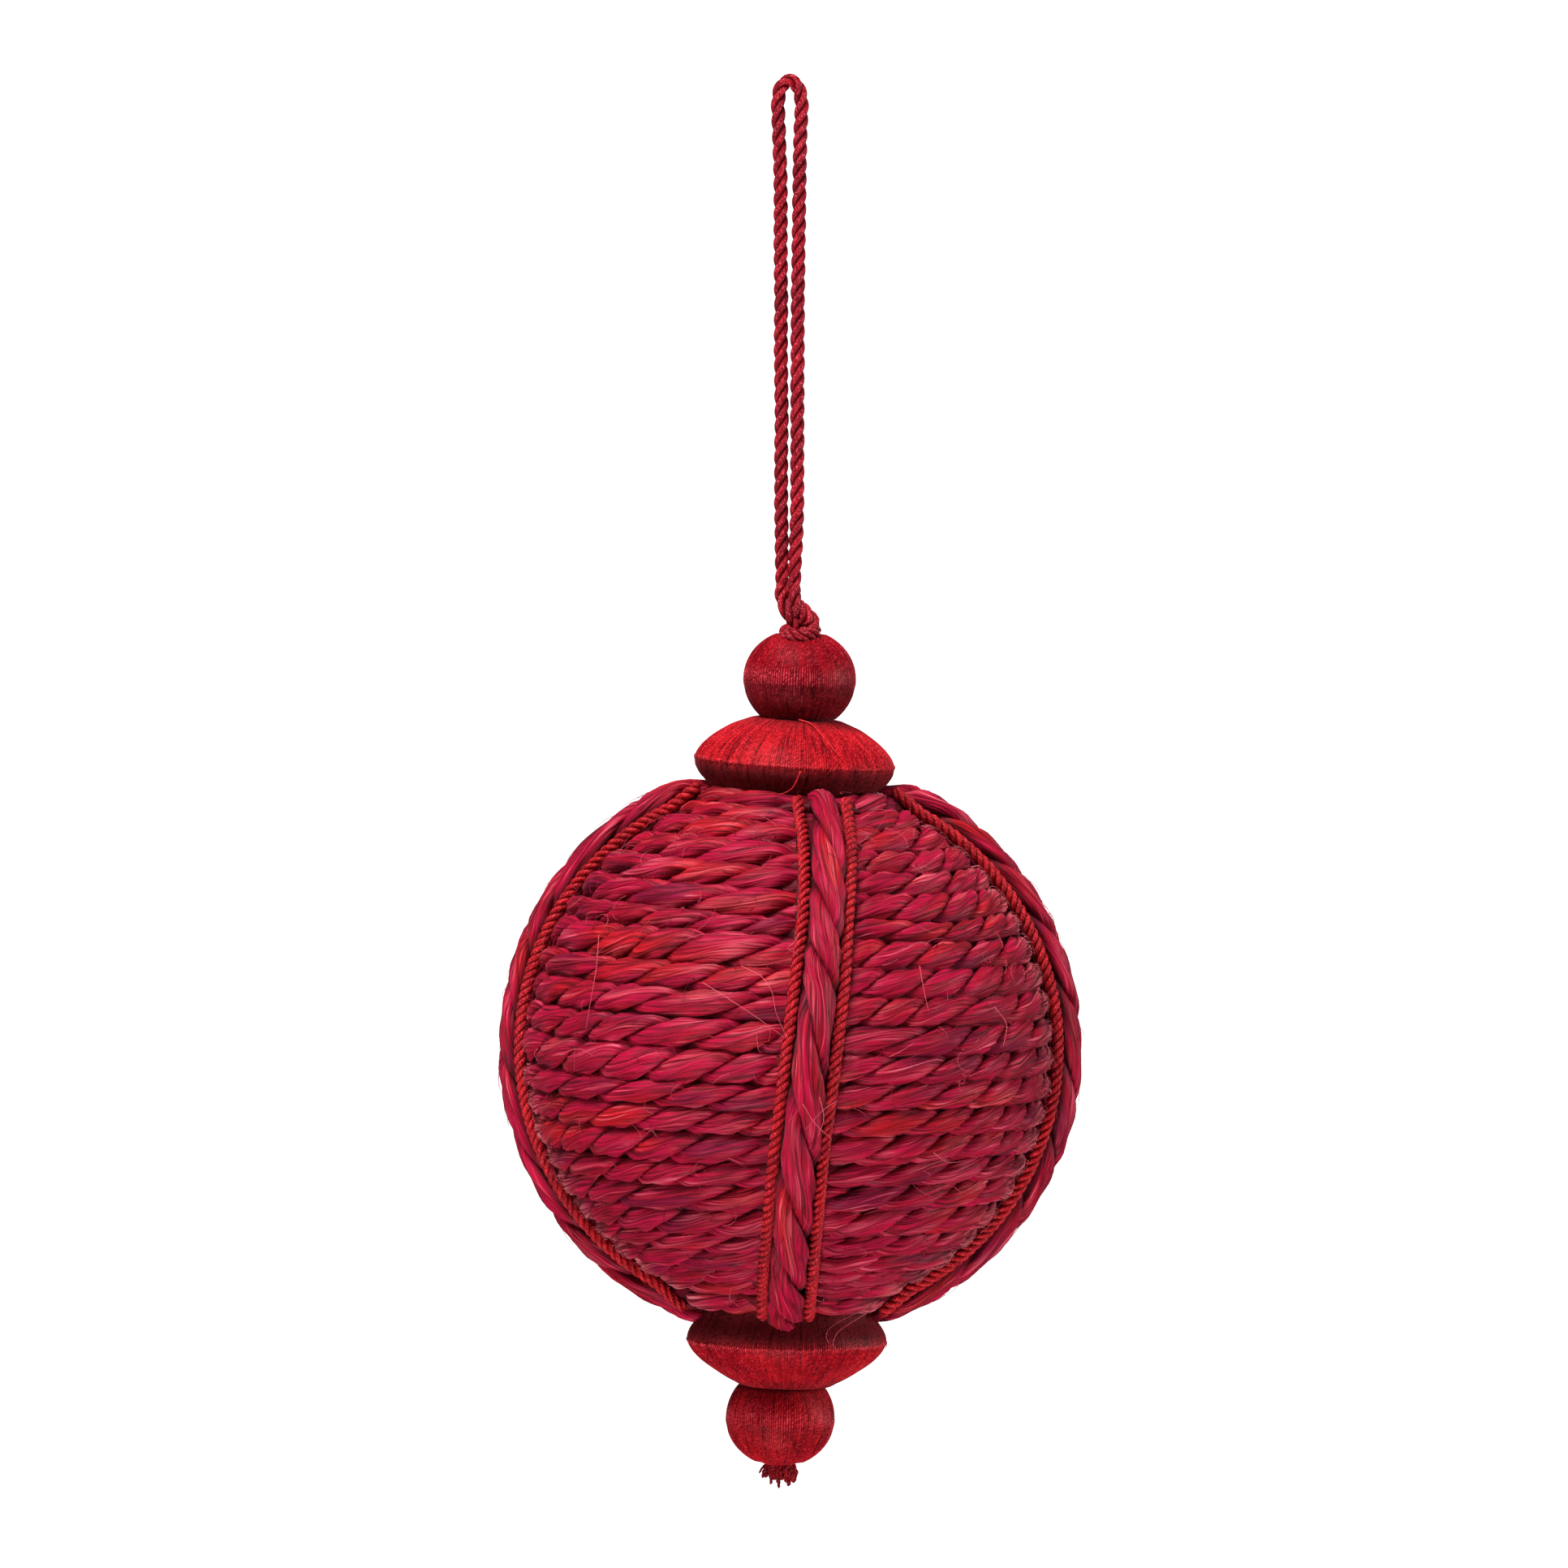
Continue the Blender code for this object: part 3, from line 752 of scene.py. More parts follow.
# %% Lay the rows of the ball
def flat_strand(bundle, path, half_width, thickness, lift, sides, kept, ring):
    """A flat strand along a path, of the rings that are kept."""
    turns = np.radians(np.arange(0.0, 360.0, 360.0 / sides))
    grid = sweep(path, np.cos(turns) * half_width, lift + np.sin(turns) * thickness)
    along = np.append(path["places"], path["places"][-1] + path["places"][1])
    # Height 0: the finish paints this strand in full shade, so the pits read dark.
    bundle.add(grid[kept], along[kept], np.append(turns, 6.3) * MM, 0.0, ring)


LOOSE_ROWS = (0, 1, 19, 20, 21, 22)
ROW_GROUPS = (("jute_rows_upper", 0, 7), ("jute_rows_middle", 7, 12),
              ("jute_rows_lower", 12, 17), ("jute_rows_bottom", 17, 23))
row_bundles = {}
for name, first, after in ROW_GROUPS:
    row_bundles[name] = Bundle()
    for row in range(first, after):
        chance = np.random.default_rng(100 + row)
        path = row_path(row, chance)
        flat_strand(row_bundles[name], path, 1.25 * path["half_width"][:, None], 1.2 * MM,
                    path["bed_lift"][:, None] - 0.6 * MM, 6, slice(None, None, 2), True)
        lay = LOOSE_LAY if row in LOOSE_ROWS else ROW_LAY
        wind(row_bundles[name], path, lay, ROW_FIBRES, chance, True)
print(len(row_bundles), "groups of rows")

# %% [markdown]
# Jute sheds. Short fibres stand off the rows everywhere and catch the light, and a
# few long ones cross several rows. The short ones are scattered with a seed. The
# long ones, and the places of small pale tufts, were traced over the photograph, in
# its pixels, and `seen_place` finds where the camera's line through a pixel meets
# the ball. Beside the ropes, the rows end in combs of frayed tips, pale with wear
# and painted sheen.

# %% Scatter and trace stray fibres
PHOTO_WIDTH = 1932.0
# Millimetres for a pixel, the column of the axis, and the pixel of the frame's origin.
MM_ACROSS = 0.1606
MM_DOWN = 0.1611
AXIS_PIXEL = 976.0
ORIGIN_PIXEL = (972.5, 110.5)
FIBRE_RADIUS = 0.07 * MM
FIBRES_PER_ROW = 66
FIBRES_PER_TUFT = 7
TRACED_FIBRES = (
    # Places in the photograph, and how far the fibre stands off the crests.
    (((865, 1210), (900, 1232), (936, 1256), (973, 1283)), 0.5),
    (((913, 1190), (938, 1203), (951, 1222), (957, 1250), (972, 1282)), 1.6),
    (((934, 1292), (933, 1272), (941, 1263), (949, 1270), (947, 1284)), 0.7),
    (((1133, 1190), (1138, 1218), (1144, 1246)), 0.6),
    (((738, 1152), (735, 1190), (728, 1232), (722, 1267)), 0.7),
    (((1124, 1066), (1132, 1073), (1142, 1079)), 0.6),
    (((985, 1150), (978, 1162), (970, 1168), (984, 1176)), 3.6),
    (((1031, 1356), (1012, 1370), (992, 1392)), 4.6),
    (((989, 1360), (1004, 1384), (1024, 1403)), 4.6),
    (((1010, 1352), (1015, 1378), (1008, 1400)), 4.8),
    (((901, 1586), (899, 1600), (906, 1606), (915, 1612)), 0.8),
    (((1001, 1600), (1008, 1603), (1014, 1604), (1015, 1600)), 0.8),
    (((1150, 1420), (1168, 1432), (1190, 1430)), 0.6),
    (((846, 1024), (856, 1018), (868, 1022)), 0.8),
    (((838, 1030), (850, 1027), (860, 1031)), 0.8),
    (((900, 1010), (918, 1002), (940, 1006), (958, 1018)), 0.8),
    (((1060, 1010), (1080, 998), (1104, 1000)), 0.9),
    (((1090, 1020), (1112, 1030), (1120, 1046)), 0.9),
    (((690, 1300), (712, 1292), (730, 1300)), 0.7),
    (((1225, 1240), (1240, 1262), (1236, 1290)), 0.7),
)
PALE_TUFTS = ((847, 1027), (841, 1044), (930, 1024), (938, 1034), (1063, 1040), (1070, 1028),
              (1116, 1022), (1136, 1066), (843, 1122), (989, 1157), (983, 1170), (716, 1075),
              (706, 1098), (1240, 1262), (1186, 1330), (800, 1392), (1262, 1200))
HANGING_FIBRES = (
    # Places in the photograph, and how far each is from the axis.
    ((1087, 1606, 21.5), (1066, 1616, 21.8), (1047, 1627, 21.8), (1032, 1638, 21.4),
     (1026, 1652, 20.6), (1030, 1658, 20.2)),
    ((1078, 1604, 21.2), (1052, 1616, 21.6), (1028, 1628, 21.6), (1018, 1640, 21.2),
     (1021, 1652, 20.5)),
)


def seen_place(across, down, radius):
    """Where the camera's line through a pixel meets a ball of this radius."""
    slope = SENSOR_MM / LENS_MM / PHOTO_WIDTH
    half = 0.5 * PHOTO_WIDTH
    ray = Vector(((across - half) * slope, (half - down) * slope, -1.0))
    ray = camera.rotation_euler.to_matrix() @ ray.normalized()
    toward = camera.location - ball_middle
    reach = toward.dot(ray)
    inside = reach * reach - toward.length_squared + radius * radius
    return camera.location + ray * (-reach - math.sqrt(max(0.0, inside)))


def hanging_route(thread):
    """Places seen at these pixels, this far from the axis, at the bottom or the top."""
    places = []
    for across, down, radius in thread:
        depth = math.sqrt(max(0.0, radius**2 - ((across - AXIS_PIXEL) * MM_ACROSS) ** 2))
        height = -(down - ORIGIN_PIXEL[1]) * MM_DOWN + depth * math.tan(CAMERA_TIP)
        places.append(((across - ORIGIN_PIXEL[0]) * MM_ACROSS * MM, -depth * MM, height * MM))
    return smooth_route(places, 0.6 * MM)


def scattered_fibre(chance, low, high):
    """A short curved fibre somewhere between two latitudes."""
    t = np.linspace(0.0, 1.0, 7)
    latitude = chance.uniform(low, high)
    azimuth = chance.uniform(-math.pi, math.pi)
    heading = chance.normal(0.2, 0.45) + math.pi * chance.integers(2) + chance.normal(0.0, 2.0) * t
    length = chance.uniform(2.0, 9.0) * MM
    east_run = np.cumsum(np.cos(heading)) * length / 7
    north_run = np.cumsum(np.sin(heading)) * length / 7
    lift = chance.uniform(0.1, 1.3) * MM
    shape = t**1.6 if chance.uniform() < 0.5 else np.sin(np.pi * t)
    radius = BALL_RADIUS - 0.3 * MM + lift * shape + piled_up(latitude)
    turn = azimuth + east_run / BALL_RADIUS / math.cos(math.radians(latitude))
    return over_ball(latitude + np.degrees(north_run / BALL_RADIUS), np.degrees(turn), radius)


def frayed_tip(chance, row, rope, side):
    """A fibre that lies over a row beside a rope, and hooks down at the rope's cord."""
    t = np.linspace(0.0, 1.0, 5)
    away = (chance.uniform(9.0, 14.0) * (1.0 - t) + chance.uniform(5.0, 7.0) * t) * MM
    swing = np.degrees(away / BALL_RADIUS / math.cos(math.radians(ROWS_EVEN[row])))
    degrees = signed_degrees(rope_azimuth(rope, ROWS_EVEN[row]) + side * swing)
    top, bottom = row_edge(row, degrees), row_edge(row + 1, degrees)
    height = np.clip(chance.uniform(-0.6, 0.9) + 0.2 * t - 0.6 * t * t, -0.95, 0.95)
    latitude = 0.5 * (top + bottom) + 0.5 * (top - bottom) * height
    drop = ROPE_PRESS * pressed_in(away)
    drop = drop + ROW_HALF_HEIGHT * (1.0 - np.sqrt(1.0 - (0.75 * height) ** 2))
    radius = BALL_RADIUS - drop + (0.3 + chance.uniform(0.0, 0.5) * t) * MM
    return over_ball(latitude, degrees, radius)


FRAYED_ENDS = (
    # Rope, side of it, first row, the row after the last, and fibres at each row.
    (1, -1, 2, 21, 12), (3, 1, 12, 21, 12), (1, 1, 4, 20, 5), (3, -1, 12, 20, 5),
    (2, -1, 4, 20, 5), (2, 1, 4, 20, 5))

loose = Bundle()
for name, first, after in ROW_GROUPS:
    for row in range(first, after):
        chance = np.random.default_rng(700 + row)
        share = math.cos(math.radians(ROWS_EVEN[row]))
        for number in range(round(FIBRES_PER_ROW * share)):
            line = scattered_fibre(chance, EDGES_EVEN[row + 1], EDGES_EVEN[row])
            radius = FIBRE_RADIUS * chance.uniform(0.6, 1.2)
            among = loose if number % 5 == 0 else row_bundles[name]
            stray(among, line, radius, number, chance.uniform(0.75, 1.0))
        for rope, side, start, stop, amount in FRAYED_ENDS:
            for number in range(amount if start <= row < stop else 0):
                line = frayed_tip(chance, row, rope, side)
                radius = FIBRE_RADIUS * chance.uniform(0.8, 1.3)
                stray(row_bundles[name], line, radius, number, chance.uniform(0.8, 1.0), 1.5)
    row_bundles[name].make(name, row_jute, "jute_rows", ("jute_ball",))

for number, (pixels, lift) in enumerate(TRACED_FIBRES):
    radius = BALL_RADIUS + (0.45 + lift) * MM
    places = [tuple(seen_place(*pixel, radius)) for pixel in pixels]
    stray(loose, smooth_route(places, 0.8 * MM), FIBRE_RADIUS * 1.4, number)
for number, pixel in enumerate(PALE_TUFTS):
    chance = np.random.default_rng(900 + number)
    foot = np.array(seen_place(*pixel, BALL_RADIUS + 0.3 * MM))
    for k in range(FIBRES_PER_TUFT):
        run, bend = chance.normal(0.0, 1.0, (2, 3)) * (1.2, 0.6, 1.0) * MM
        t = np.linspace(0.0, 1.0, 5)[:, None]
        start = foot + chance.normal(0.0, 0.8, 3) * (1.0, 0.2, 0.6) * MM
        line = start + run * t + (bend + (0.0, -0.5 * MM, 0.0)) * t * t
        stray(loose, line, 0.8 * FIBRE_RADIUS, k)
for number, thread in enumerate(HANGING_FIBRES):
    stray(loose, hanging_route(thread), FIBRE_RADIUS * 1.6, 40 + number)
loose.make("loose_jute_fibres", loose_jute, "jute_rows", ("jute_ball",))

# %% [markdown]
# The ropes are pressed flatter than the rows. At the top they dive under the disc,
# and at the bottom they end in a rounded fold over its edge. On the front rope, the
# creases between the strands are set where the photograph shows them. A strip under
# each rope, painted dark as shade, closes the pits between the rows there.

# %% Lay the four meridian ropes
ROPE_HALF_WIDTH = 3.3 * MM
ROPE_HALF_HEIGHT = 2.75 * MM
ROPE_RADIUS = BALL_RADIUS + 1.75 * MM
ROPE_PITCH = 28.0 * MM
# The latitudes of a rope's two ends, in degrees.
ROPE_TOP = 74.5
ROPE_BOTTOM = -74.2
ROPE_DIVE = 3.0 * MM
ROPE_WANDER = 20.0 * MM
ROPE_FIBRES = np.radians(np.append(np.arange(-20.0, 201.0, 6.5), np.arange(225.0, 330.0, 26.0)))
ROPE_LAY = dict(ROW_LAY, fibre_length=14.0 * MM, around=1.9 * MM)
ROPE_HAIRS = 60
FRONT_CREASES = ((1000, 1008), (998, 1089), (994, 1162), (990, 1220), (984, 1335),
                 (976, 1440), (970, 1528))


def meridian_path(number, radius, aside, top, bottom, ring_length):
    """A line from disc to disc, this far aside of a rope's middle."""
    length = math.radians(top - bottom) * BALL_RADIUS
    latitude = np.linspace(top, bottom, round(length / ring_length))
    outward = ball_directions(latitude, rope_azimuth(number, latitude))[1]
    tangent = np.gradient(outward, axis=0)
    tangent /= np.linalg.norm(tangent, axis=1)[:, None]
    sideways = np.cross(outward, tangent)
    radius = radius(latitude)[:, None]
    swing = aside / radius
    out = outward * np.cos(swing) + sideways * np.sin(swing)
    across = sideways * np.cos(swing) - outward * np.sin(swing)
    return {"middle": on_body(out * radius), "across": across @ body_turn.T,
            "outward": out @ body_turn.T, "places": np.linspace(0.0, length, len(latitude)),
            "latitude": latitude, "worn": 0.0}


def rounded_end(places, rounding, smallest):
    """1 along a strand, and less at its ends, as on a rounded tip."""
    share = np.clip(np.minimum(places, places[-1] - places) / rounding, 0.0, 1.0)
    return smallest + (1.0 - smallest) * np.sqrt(1.0 - (1.0 - share) ** 2)


def rope_radius(latitude):
    return ROPE_RADIUS - ROPE_DIVE * eased(latitude, 64.0, 75.0)


def crease_depth(across, down):
    """How far down from the ball's top a crease in the photograph lies, in degrees."""
    place = seen_place(across, down, ROPE_RADIUS) - ball_middle
    return math.degrees(place.angle(bead_line))


for number, name in enumerate(ROPE_NAMES):
    chance = np.random.default_rng(300 + number)
    path = meridian_path(number, rope_radius, 0.0, ROPE_TOP, ROPE_BOTTOM, ROPE_PITCH / 24)
    places = path["places"]
    wander = drift(chance, 3, places, ROPE_WANDER)
    path["half_width"] = ROPE_HALF_WIDTH * (1.0 + 0.06 * wander[0])
    path["half_height"] = ROPE_HALF_HEIGHT * (1.0 + 0.05 * wander[1])
    path["phase"] = chance.uniform(0.0, 6.3) - 2.0 * np.pi * places / ROPE_PITCH
    path["phase"] = path["phase"] + 0.8 * wander[2]
    if name == "front":
        narrow = eased(path["latitude"], 42.0, 66.0)
        path["half_width"] = path["half_width"] * (1.0 - 0.33 * narrow)
        depth = 90.0 - path["latitude"]
        creases = [crease_depth(*crease) for crease in FRONT_CREASES]
        half_turns = np.arange(len(creases))
        before = (depth - creases[0]) / (creases[1] - creases[0])
        after = half_turns[-1] + (depth - creases[-1]) / (creases[-1] - creases[-2])
        halves = np.interp(depth, creases, half_turns)
        halves = np.where(depth < creases[0], before, halves)
        halves = np.where(depth > creases[-1], after, halves)
        path["phase"] = 0.5 * np.pi - np.pi * halves
    path["end"] = rounded_end(places, 2.8 * MM, 0.5)
    path["seed"] = 40 + number
    rope = Bundle()
    wind(rope, path, ROPE_LAY, ROPE_FIBRES, chance)
    flat_strand(rope, path, 5.8 * MM, 0.7 * MM, -3.0 * MM, 8, slice(3, len(places) - 3), False)
    for k in range(ROPE_HAIRS):
        at = chance.integers(10, len(places) - 12)
        start = path["middle"][at] + path["across"][at] * chance.uniform(-3.2, 3.2) * MM
        start = start + path["outward"][at] * ROPE_HALF_HEIGHT * 0.85
        run = (path["middle"][at + 4] - path["middle"][at]) * chance.uniform(0.4, 1.6)
        lean = path["across"][at] * chance.normal(0.8, 1.6) * MM
        lift = path["outward"][at] * chance.uniform(0.1, 1.2) * MM
        t = np.linspace(0.0, 1.0, 7)[:, None]
        stray(rope, start + run * t + lean * t * t + lift * np.sin(2.4 * t), FIBRE_RADIUS, k)
    rope.make("jute_rope_" + name, rope_jute, "jute_rope", ("meridian_rope_" + name,))

# %% [markdown]
# Trim cord, loop and knot are made of shiny cord, mostly of three strands, twisted the
# other way than the jute. Its finish has fine yarns along each strand, a satin gloss,
# painted shade in the creases between the strands, and painted pale glints as
# highlights on their crests.

# %% Mix the satin cord's finish
LIT_CORD = (0.80, 0.12, 0.16)


def cord_finish(name, colour, dark, painted_glint):
    finish = Finish(name, Roughness=0.45, Sheen_Weight=0.05, Sheen_Roughness=0.3,
                    Sheen_Tint=opaque(1.0, 0.35, 0.4), Specular_IOR_Level=0.22,
                    Specular_Tint=opaque(1.0, 0.4, 0.45))
    place = finish.strand_map()
    split = finish.node("ShaderNodeSeparateXYZ", None, {0: place}, "X")
    slanted = finish.shifted(place, split * 0.7)
    yarn = finish.noise(slanted, (5.0, 42.0, 1.0))
    dots = finish.noise(slanted, (26.0, 60.0, 1.0))
    batch = finish.noise(place, (0.8, 0.5, 1.0))
    dyed = finish.mix(batch.between(0.35, 0.65), opaque(*dark), opaque(*colour))
    out = finish.attribute("height")
    parted = yarn.between(0.38, 0.58)
    # Painted shade in the creases between the strands.
    shade = (out.between(0.4, 0.95) * 0.65 + 0.35) * (parted * 0.5 + 0.5)
    shade = shade * (dots.between(0.35, 0.62) * 0.7 + 0.55)
    # Painted highlights: pale glints on the crests.
    lit = out.between(0.75, 0.98) * dots.between(0.55, 0.64) * parted * painted_glint
    dyed = finish.mix(lit, finish.dimmed(dyed, shade), opaque(*LIT_CORD))
    finish.surface(dyed, 0.6 - parted * 0.2, parted * 0.6 + dots * 0.4, 0.15 * MM, 0.8)
    return finish


trim_cord = cord_finish("satin_trim_cord", (0.54, 0.009, 0.015), (0.38, 0.006, 0.013), 0.45)
loop_cord = cord_finish("satin_loop_cord", (0.38, 0.004, 0.014), (0.25, 0.003, 0.011), 0.8)
dark_cord = cord_finish("dark_cord_end", (0.46, 0.006, 0.014), (0.26, 0.004, 0.010), 0.4)
print("cord finishes made")

# %% [markdown]
# A thin cord runs along each side of each rope. There are eight, and a loop lays
# them all. They press a little into the jute, so no gap shows under them.

# %% Lay the eight trim cords
TRIM_RADIUS = 1.25 * MM
TRIM_ASIDE = 4.7 * MM
TRIM_LIFT = 0.5 * MM
TRIM_PITCH = 5.3 * MM
# The latitudes of a trim cord's ends, in degrees.
TRIM_TOP = 70.0
FRONT_TRIM_TOP = 68.2
TRIM_BOTTOM = -69.6
TRIM_HAIRS = 26
TRIM_WANDER = 15.0 * MM
HAIR_RADIUS = 0.05 * MM
CORD_LAY = {"strands": 3, "thick": 0.52, "broad": 0.56, "offset": 0.49, "flute": 0.0,
            "fibre_length": 6.0 * MM, "fibre_sway": 0.0, "lumps": 0.05, "lying": False,
            "squareness": 2.3, "around": 0.6 * MM}
TRIM_SIDES = np.radians(np.arange(0.0, 359.0, 360.0 / 7))


def trim_radius(latitude):
    return BALL_RADIUS + TRIM_LIFT + piled_up(latitude)


for number, name in enumerate(ROPE_NAMES):
    for side_name, side in (("a", -1.0), ("b", 1.0)):
        cord_number = 2 * number + int(side > 0)
        chance = np.random.default_rng(400 + cord_number)
        top = FRONT_TRIM_TOP if name == "front" else TRIM_TOP
        path = meridian_path(number, trim_radius, side * TRIM_ASIDE, top, TRIM_BOTTOM,
                             TRIM_PITCH / 10)
        places = path["places"]
        wander = drift(chance, 2, places, TRIM_WANDER)
        path["middle"] = path["middle"] + path["across"] * 0.3 * MM * wander[0][:, None]
        path.update(half_width=TRIM_RADIUS, half_height=TRIM_RADIUS, seed=60 + cord_number,
                    phase=2.0 * np.pi * places / TRIM_PITCH + 0.5 * wander[1],
                    end=rounded_end(places, 1.2 * MM, 0.35))
        trim = Bundle()
        wind(trim, path, CORD_LAY, TRIM_SIDES, chance)
        for k in range(TRIM_HAIRS):
            at = chance.integers(4, len(places) - 6)
            turn = chance.uniform(0.2, math.pi - 0.2)
            out = path["across"][at] * math.cos(turn) + path["outward"][at] * math.sin(turn)
            run = (path["middle"][at + 2] - path["middle"][at]) * chance.uniform(0.5, 2.0)
            t = np.linspace(0.0, 1.0, 5)[:, None]
            start = path["middle"][at] + out * TRIM_RADIUS * 0.85
            line = start + run * t + out * chance.uniform(0.3, 0.9) * MM * t * t
            stray(trim, line, HAIR_RADIUS, k)
        ending = name + "_" + side_name
        trim.make("thin_cord_" + ending, trim_cord, "trim_cord", ("trim_cord_" + ending,))

# %% [markdown]
# The loop is a free cord with its real length, seen from end to end. Its route is
# the one that the frame was built on, point by point in millimetres. It is wound a
# little thicker, as its rounded strands fill less than a full round cord.

# %% Wind the hanging loop
CORD_DIAMETER = 2.5 * MM
CORD_PITCH = 9.0 * MM
CORD_WANDER = 20.0 * MM
LOOP_SWELL = 1.13
LOOP_ROUTE = (
    (-1.35, 0.3, -100.7), (-1.4, 0.25, -95.0), (-1.55, 0.1, -86.0), (-1.6, 0.0, -75.0),
    (-1.5, 0.1, -64.0), (-1.65, 0.15, -53.0), (-1.6, 0.0, -42.0), (-1.7, -0.1, -31.0),
    (-1.7, -0.1, -20.0), (-1.95, 0.0, -11.0), (-2.2, 0.0, -5.0), (-2.1, 0.0, -2.0),
    (-1.35, 0.0, 0.4), (0.05, 0.0, 1.25), (1.45, 0.0, 0.5), (2.3, 0.0, -2.0),
    (2.4, 0.0, -5.0), (2.15, 0.0, -11.0), (2.0, 0.1, -20.0), (1.85, 0.1, -31.0),
    (1.7, 0.0, -42.0), (1.65, -0.15, -53.0), (1.6, -0.1, -64.0), (1.6, 0.0, -75.0),
    (1.5, -0.1, -86.0), (1.1, -0.25, -94.0), (0.9, -0.3, -100.7),
)
CORD_SIDES = np.radians(np.arange(0.0, 359.0, 30.0))
PLY_SIDES = np.radians(np.arange(0.0, 359.0, 60.0))


def lay_of_cord(strands):
    """How this many round strands lie in a cord."""
    share = math.sin(math.pi / strands)
    size = 1.06 * share / (1.0 + share)
    return dict(CORD_LAY, strands=strands, thick=size, broad=1.08 * size,
                offset=1.03 - size, squareness=2.0)


def wind_cord(bundle, route, seed, diameter=CORD_DIAMETER, pitch=CORD_PITCH, strands=3,
              sides=CORD_SIDES, rings=16):
    """Wind cord along a route in millimetres."""
    chance = np.random.default_rng(seed)
    path = follow(smooth_route(np.array(route) * MM, pitch / rings), (0.0, 1.0, 0.0))
    places = path["places"]
    wander = drift(chance, 1, places, CORD_WANDER)
    turned = chance.uniform(0.0, 6.3) + 2.0 * np.pi * places / pitch + 0.4 * wander[0]
    path.update(half_width=0.5 * diameter, half_height=0.5 * diameter, phase=turned,
                end=rounded_end(places, 0.5 * diameter, 0.3), seed=seed)
    wind(bundle, path, lay_of_cord(strands), sides, chance)
    return path


loop_bundle = Bundle()
loop_path = wind_cord(loop_bundle, LOOP_ROUTE, 90, LOOP_SWELL * CORD_DIAMETER)
loop = loop_bundle.make("loop_of_cord", loop_cord, "hanging_cord", ("hanging_loop",))
print("the loop's cord is", round(loop_path["places"][-1] / MM, 1), "mm long")

# %% [markdown]
# The knot is tied from the loop's own cord. Both ends come down together and lean
# right. The doubled cord curls over on the right, round a dark pit, and one turn
# goes round the foot of the knot, in the dimple of the bead. Short routes, chosen
# from the photograph, tie it.

# %% Tie the knot
KNOT_ROUTES = (
    # The left end, in front, which goes down into the bead.
    (2.8, 9.0, 3, ((-1.4, 0.3, -97.5), (-1.5, 0.0, -100.4), (-0.75, -0.5, -102.9),
                   (0.35, -0.8, -105.0), (1.1, -0.7, -106.8), (1.4, 0.2, -109.0))),
    # The right end.
    (2.8, 9.0, 3, ((0.95, -0.3, -97.5), (0.9, -0.6, -100.2), (1.2, -0.9, -102.2),
                   (1.9, -0.8, -104.2), (2.4, -0.7, -106.4))),
    # The doubled cord, which curls over.
    (4.3, 11.0, 5, ((0.6, 0.4, -101.4), (1.7, 0.2, -103.2), (3.2, 0.0, -104.8),
                    (4.1, -0.2, -106.1), (3.6, -0.5, -107.4), (2.0, -0.4, -108.2))),
    # The turn round the foot, which lies on the bead's shoulder in front.
    (2.9, 6.5, 4, ((5.0, -1.2, -106.9), (4.5, -4.2, -107.7), (2.3, -5.9, -108.2),
                   (0.1, -4.8, -108.0), (-0.6, -2.0, -107.6), (0.0, 1.2, -107.5),
                   (2.0, 2.4, -107.4), (4.3, 1.9, -107.0), (5.0, 0.2, -106.7))),
)

knot = Bundle()
for number, (diameter, pitch, strands, route) in enumerate(KNOT_ROUTES):
    wind_cord(knot, route, 95 + number, diameter * MM, pitch * MM, strands)
knot.make("knot_of_cord", loop_cord, "hanging_cord", ("hanging_knot",))

# %% [markdown]
# The beads and discs are wrapped with satin thread that runs from one eye over the
# edge to the other. Each is half an outline spun round its axis, like turned wood,
# in two steps for each thread. The discs' outlines were measured on the photograph,
# as radius and height in millimetres from the widest place.

# %% Draw the outlines of beads and discs
BEAD_EYE_RADIUS = 5.1 * MM
BEAD_OUTER_REACH = 9.7 * MM
BEAD_INNER_REACH = 10.5 * MM
BEAD_EDGE = 0.05 * MM
BEAD_STEPS = 34
EYE_POINTS = 5
TOP_DOME = ((0.0, 8.9), (3.5, 8.9), (6.8, 8.95), (8.0, 9.0), (8.9, 8.85), (10.3, 8.3),
            (12.7, 7.3), (14.5, 6.2), (16.1, 5.1), (17.3, 4.1), (18.4, 2.95), (19.15, 1.9),
            (19.55, 1.0))
TOP_HEEL = ((19.6, -0.3), (19.5, -1.1), (19.0, -2.0), (18.4, -2.9), (17.5, -3.8),
            (16.8, -4.7), (16.1, -5.5), (8.0, -5.5), (0.0, -5.5))
TOP_RIDGE = 0.6
BOTTOM_DOME = ((0.0, 9.4), (4.0, 9.4), (8.2, 9.35), (9.3, 9.0), (10.2, 8.5), (11.2, 8.0),
               (12.9, 7.0), (14.4, 6.0), (15.9, 5.0), (17.2, 4.0), (18.2, 3.0),
               (19.0, 2.0), (19.45, 1.1))
BOTTOM_HEEL = ((19.65, -0.5), (19.4, -1.3), (19.0, -2.1), (18.3, -3.1), (17.5, -4.1),
               (16.9, -5.2), (16.4, -6.4), (16.1, -7.5), (8.0, -7.5), (0.0, -7.5))
BOTTOM_RIDGE = 0.45


